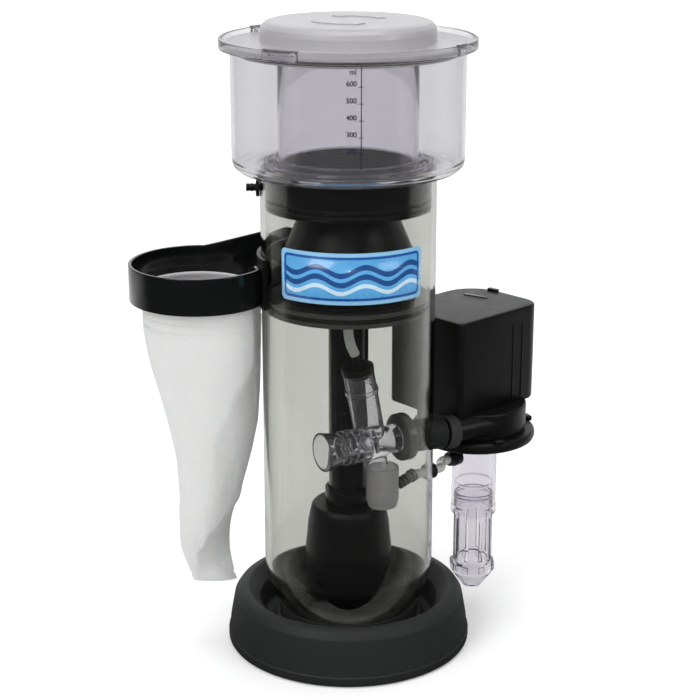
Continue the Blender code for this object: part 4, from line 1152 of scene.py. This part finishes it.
def make_bag():
    """The felt sock: a lofted shell with soft folds, two hem seams and a sewn flat foot."""
    levels = smooth_path(bag_levels(), 14)
    top_z, foot_z = levels[0][0], levels[-1][0]
    sides = 180
    shape = bmesh.new()
    loops = []
    for z, centre, width, depth in levels:
        fall = (top_z - z) / (top_z - foot_z)
        seams = 0.0
        for seam_z, deep in zip((*(z * MM for z in HEM_SEAMS), foot_z + 5.0 * MM), (1.5, 1.2, 0.9)):
            seams -= deep * math.exp(-((z - seam_z) / (0.9 * MM)) ** 2)
        pinch = max(0.0, 1.0 - (z - foot_z) / (12 * MM))
        reach = 5.2 * MM * min(1.0, max(0.0, (z - 0.140) / 0.079)) * ease(z, 0.236, 0.226)
        square = 1.0 - 0.2 * min(1.0, reach / (2 * MM))
        loop = []
        for i in range(sides):
            angle = math.tau * i / sides
            out = (bag_fold(angle, fall, z) * (1 - 0.8 * pinch) + seams) * MM
            creased = sharp_panel(angle, z)
            out *= 1 - min(1.0, 6 * creased)
            flat = 1 - max(soft_panel(angle, z), creased) * (1 - 0.7 * pinch)
            across, along = math.cos(angle), math.sin(angle)
            half = width
            if across > 0:
                across, along = across ** square, math.copysign(abs(along) ** square, along)
                half += reach
            x = centre + (half * flat + min(out, 0.5 * MM)) * across
            y = (depth * flat + min(out, 0.6 * MM)) * along
            loop.append(shape.verts.new((beside_tube(x, y), y, z)))
        loops.append(loop)
    for upper, lower in zip(loops, loops[1:]):
        skin(shape, lower, upper)
    shape.faces.new(list(reversed(loops[-1])))
    bag = mesh_object("filter_bag_look", shape, MATERIALS["felt_white"], 60.0)
    thicken(bag, 1.8, -1.0)
    stand_in_for(bag, "filter_bag")
    round_copy("bag_ring", corner=0.6, steps=MEDIUM_STEPS)
    make_stitches(levels)


def make_stitches(levels):
    """The thread round the bag's two hem seams."""
    stitch_count = 52
    for number, seam in enumerate(HEM_SEAMS):
        z, centre, width, depth = min(levels, key=lambda level: abs(level[0] - seam * MM))
        shape = bmesh.new()
        for i in range(stitch_count):
            azimuth = 360.0 * i / stitch_count
            outward, tangent = on_circle(azimuth), on_circle(azimuth + 90.0)
            spot = Vector((centre + (width - 0.1 * MM) * outward.x, (depth - 0.1 * MM) * outward.y, z))
            made = bmesh.ops.create_uvsphere(shape, u_segments=8, v_segments=6, radius=0.28 * MM)
            for vertex in made["verts"]:
                local = vertex.co.copy()
                vertex.co = spot + tangent * local.x * 3.6 + outward * local.y + UP * local.z
        attach(mesh_object(f"bag_stitches_{number + 1}", shape, MATERIALS["felt_white"]), "filter_bag")


# ---- hidden pieces

def dress_inner_nodes():
    """The pieces inside the pump keep their CAD shape, so every CAD node gets a finished material."""
    for node, thing in frame["nodes"].items():
        thing.data.materials.clear()
        thing.data.materials.append(MATERIALS.get(SLOT_OF[node], INK))


# ---- studio

def make_studio():
    """A pale sweep and soft lamps; mirrored or seen through plastic, the sweep is dark near the camera."""
    shape = bmesh.new()
    outline = [(-3.0, 0.0), (1.6, 0.0)]
    outline += [(1.6 + 0.9 * math.sin(math.radians(a)), 0.9 - 0.9 * math.cos(math.radians(a)))
                for a in range(10, 91, 10)]
    outline += [(2.5, 4.0)]
    rows = []
    for y, z in outline:
        rows.append((shape.verts.new((-3.5, y, z - 0.0002)), shape.verts.new((3.5, y, z - 0.0002))))
    for here, after in zip(rows, rows[1:]):
        shape.faces.new((here[0], here[1], after[1], after[0]))
    graph = Graph("pale_sweep")
    color = graph.blend(graph.noise(3.0, 2.0), (0.93,) * 3, (0.95,) * 3)
    place = graph.add("NewGeometry").outputs["Position"]
    mirrored = graph.blend(graph.beyond(place, -0.05, 0.4, 0.0, 1.0), (0.03,) * 3, (0.85,) * 3)
    color = graph.blend(graph.ray("Glossy"), color, mirrored)
    refracted = graph.blend(graph.beyond(place, -0.12, 0.05, 0.0, 1.0), (0.10,) * 3, (0.92, 0.92, 0.91))
    color = graph.blend(graph.ray("Transmission"), color, refracted)
    glow = graph.math("MULTIPLY", graph.ray("Camera"), 0.16)
    paper = graph.add("BsdfPrincipled", {"Base Color": color, "Roughness": 0.9,
                                                   "Specular IOR Level": 0.1, "Emission Strength": glow,
                                                   "Emission Color": (1.0, 1.0, 1.0, 1.0)})
    sweep = mesh_object("studio_sweep", shape, graph.shade(paper))
    middle = (0.0, 0.0, 0.2)
    add_lamp("key", (-1.3, -1.5, 1.9), middle, 1.2, 24.0)
    add_lamp("fill", (1.7, -1.1, 1.3), middle, 1.0, 9.0)
    add_lamp("top", (0.0, 0.3, 2.3), (0.0, 0.1, 0.0), 1.6, 20.0)
    add_lamp("back", (0.0, 1.3, 0.5), (0.0, 2.5, 0.9), 2.2, 15.0)
    add_lamp("flash", (0.02, -1.1, 0.66), middle, 0.05, 0.9)


def add_lamp(name, place, target, size, power):
    lamp = bpy.data.lights.new(name, "AREA")
    lamp.shape = "SQUARE"
    lamp.size = size
    lamp.energy = power
    thing = show(name, lamp)
    thing.location = place
    thing.rotation_euler = (Vector(target) - Vector(place)).to_track_quat("-Z", "Y").to_euler()


def make_world():
    """White to the eye; seen through clear plastic it is grey behind the object and dark before it."""
    world = bpy.data.worlds.new("studio")
    bpy.context.scene.world = world
    graph = Graph("studio", world)
    direction = graph.add("TexCoord").outputs["Generated"]
    through = graph.beyond(direction, -0.1, 0.3, 0.04, 0.9)
    level = 0.5
    for kind, strength in (("Camera", 1.0), ("Glossy", 0.05), ("Transmission", through)):
        level = graph.add("Mix", {0: graph.ray(kind), 2: level, 3: strength}).outputs[0]
    background = graph.add("Background", {"Color": (0.98, 0.99, 1.0, 1.0), "Strength": level})
    graph.shade(background)


def make_camera():
    camera = bpy.data.cameras.new("camera")
    camera.lens = CAMERA_LENS
    camera.sensor_width = 36.0
    thing = show("camera", camera)
    thing.location = (CAMERA_SIDE, -CAMERA_DISTANCE, CAMERA_HEIGHT)
    thing.rotation_euler = (math.radians(90.0 - CAMERA_PITCH), 0.0, 0.0)
    bpy.context.scene.camera = thing


def set_light_paths():
    """Clear walls stand many deep, so light may pass through more of them than usual."""
    scene = bpy.context.scene
    for limit in ("max_bounces", "transmission_bounces", "transparent_max_bounces"):
        setattr(scene.cycles, limit, 28)
    scene.view_settings.view_transform = "Standard"


dress_inner_nodes()
make_base()
make_vessel()
make_label()
make_inside()
make_cup()
make_lid()
make_air_side()
make_injector()
make_motor()
make_pump()
make_holder()
make_bag()
make_studio()
make_world()
make_camera()
set_light_paths()
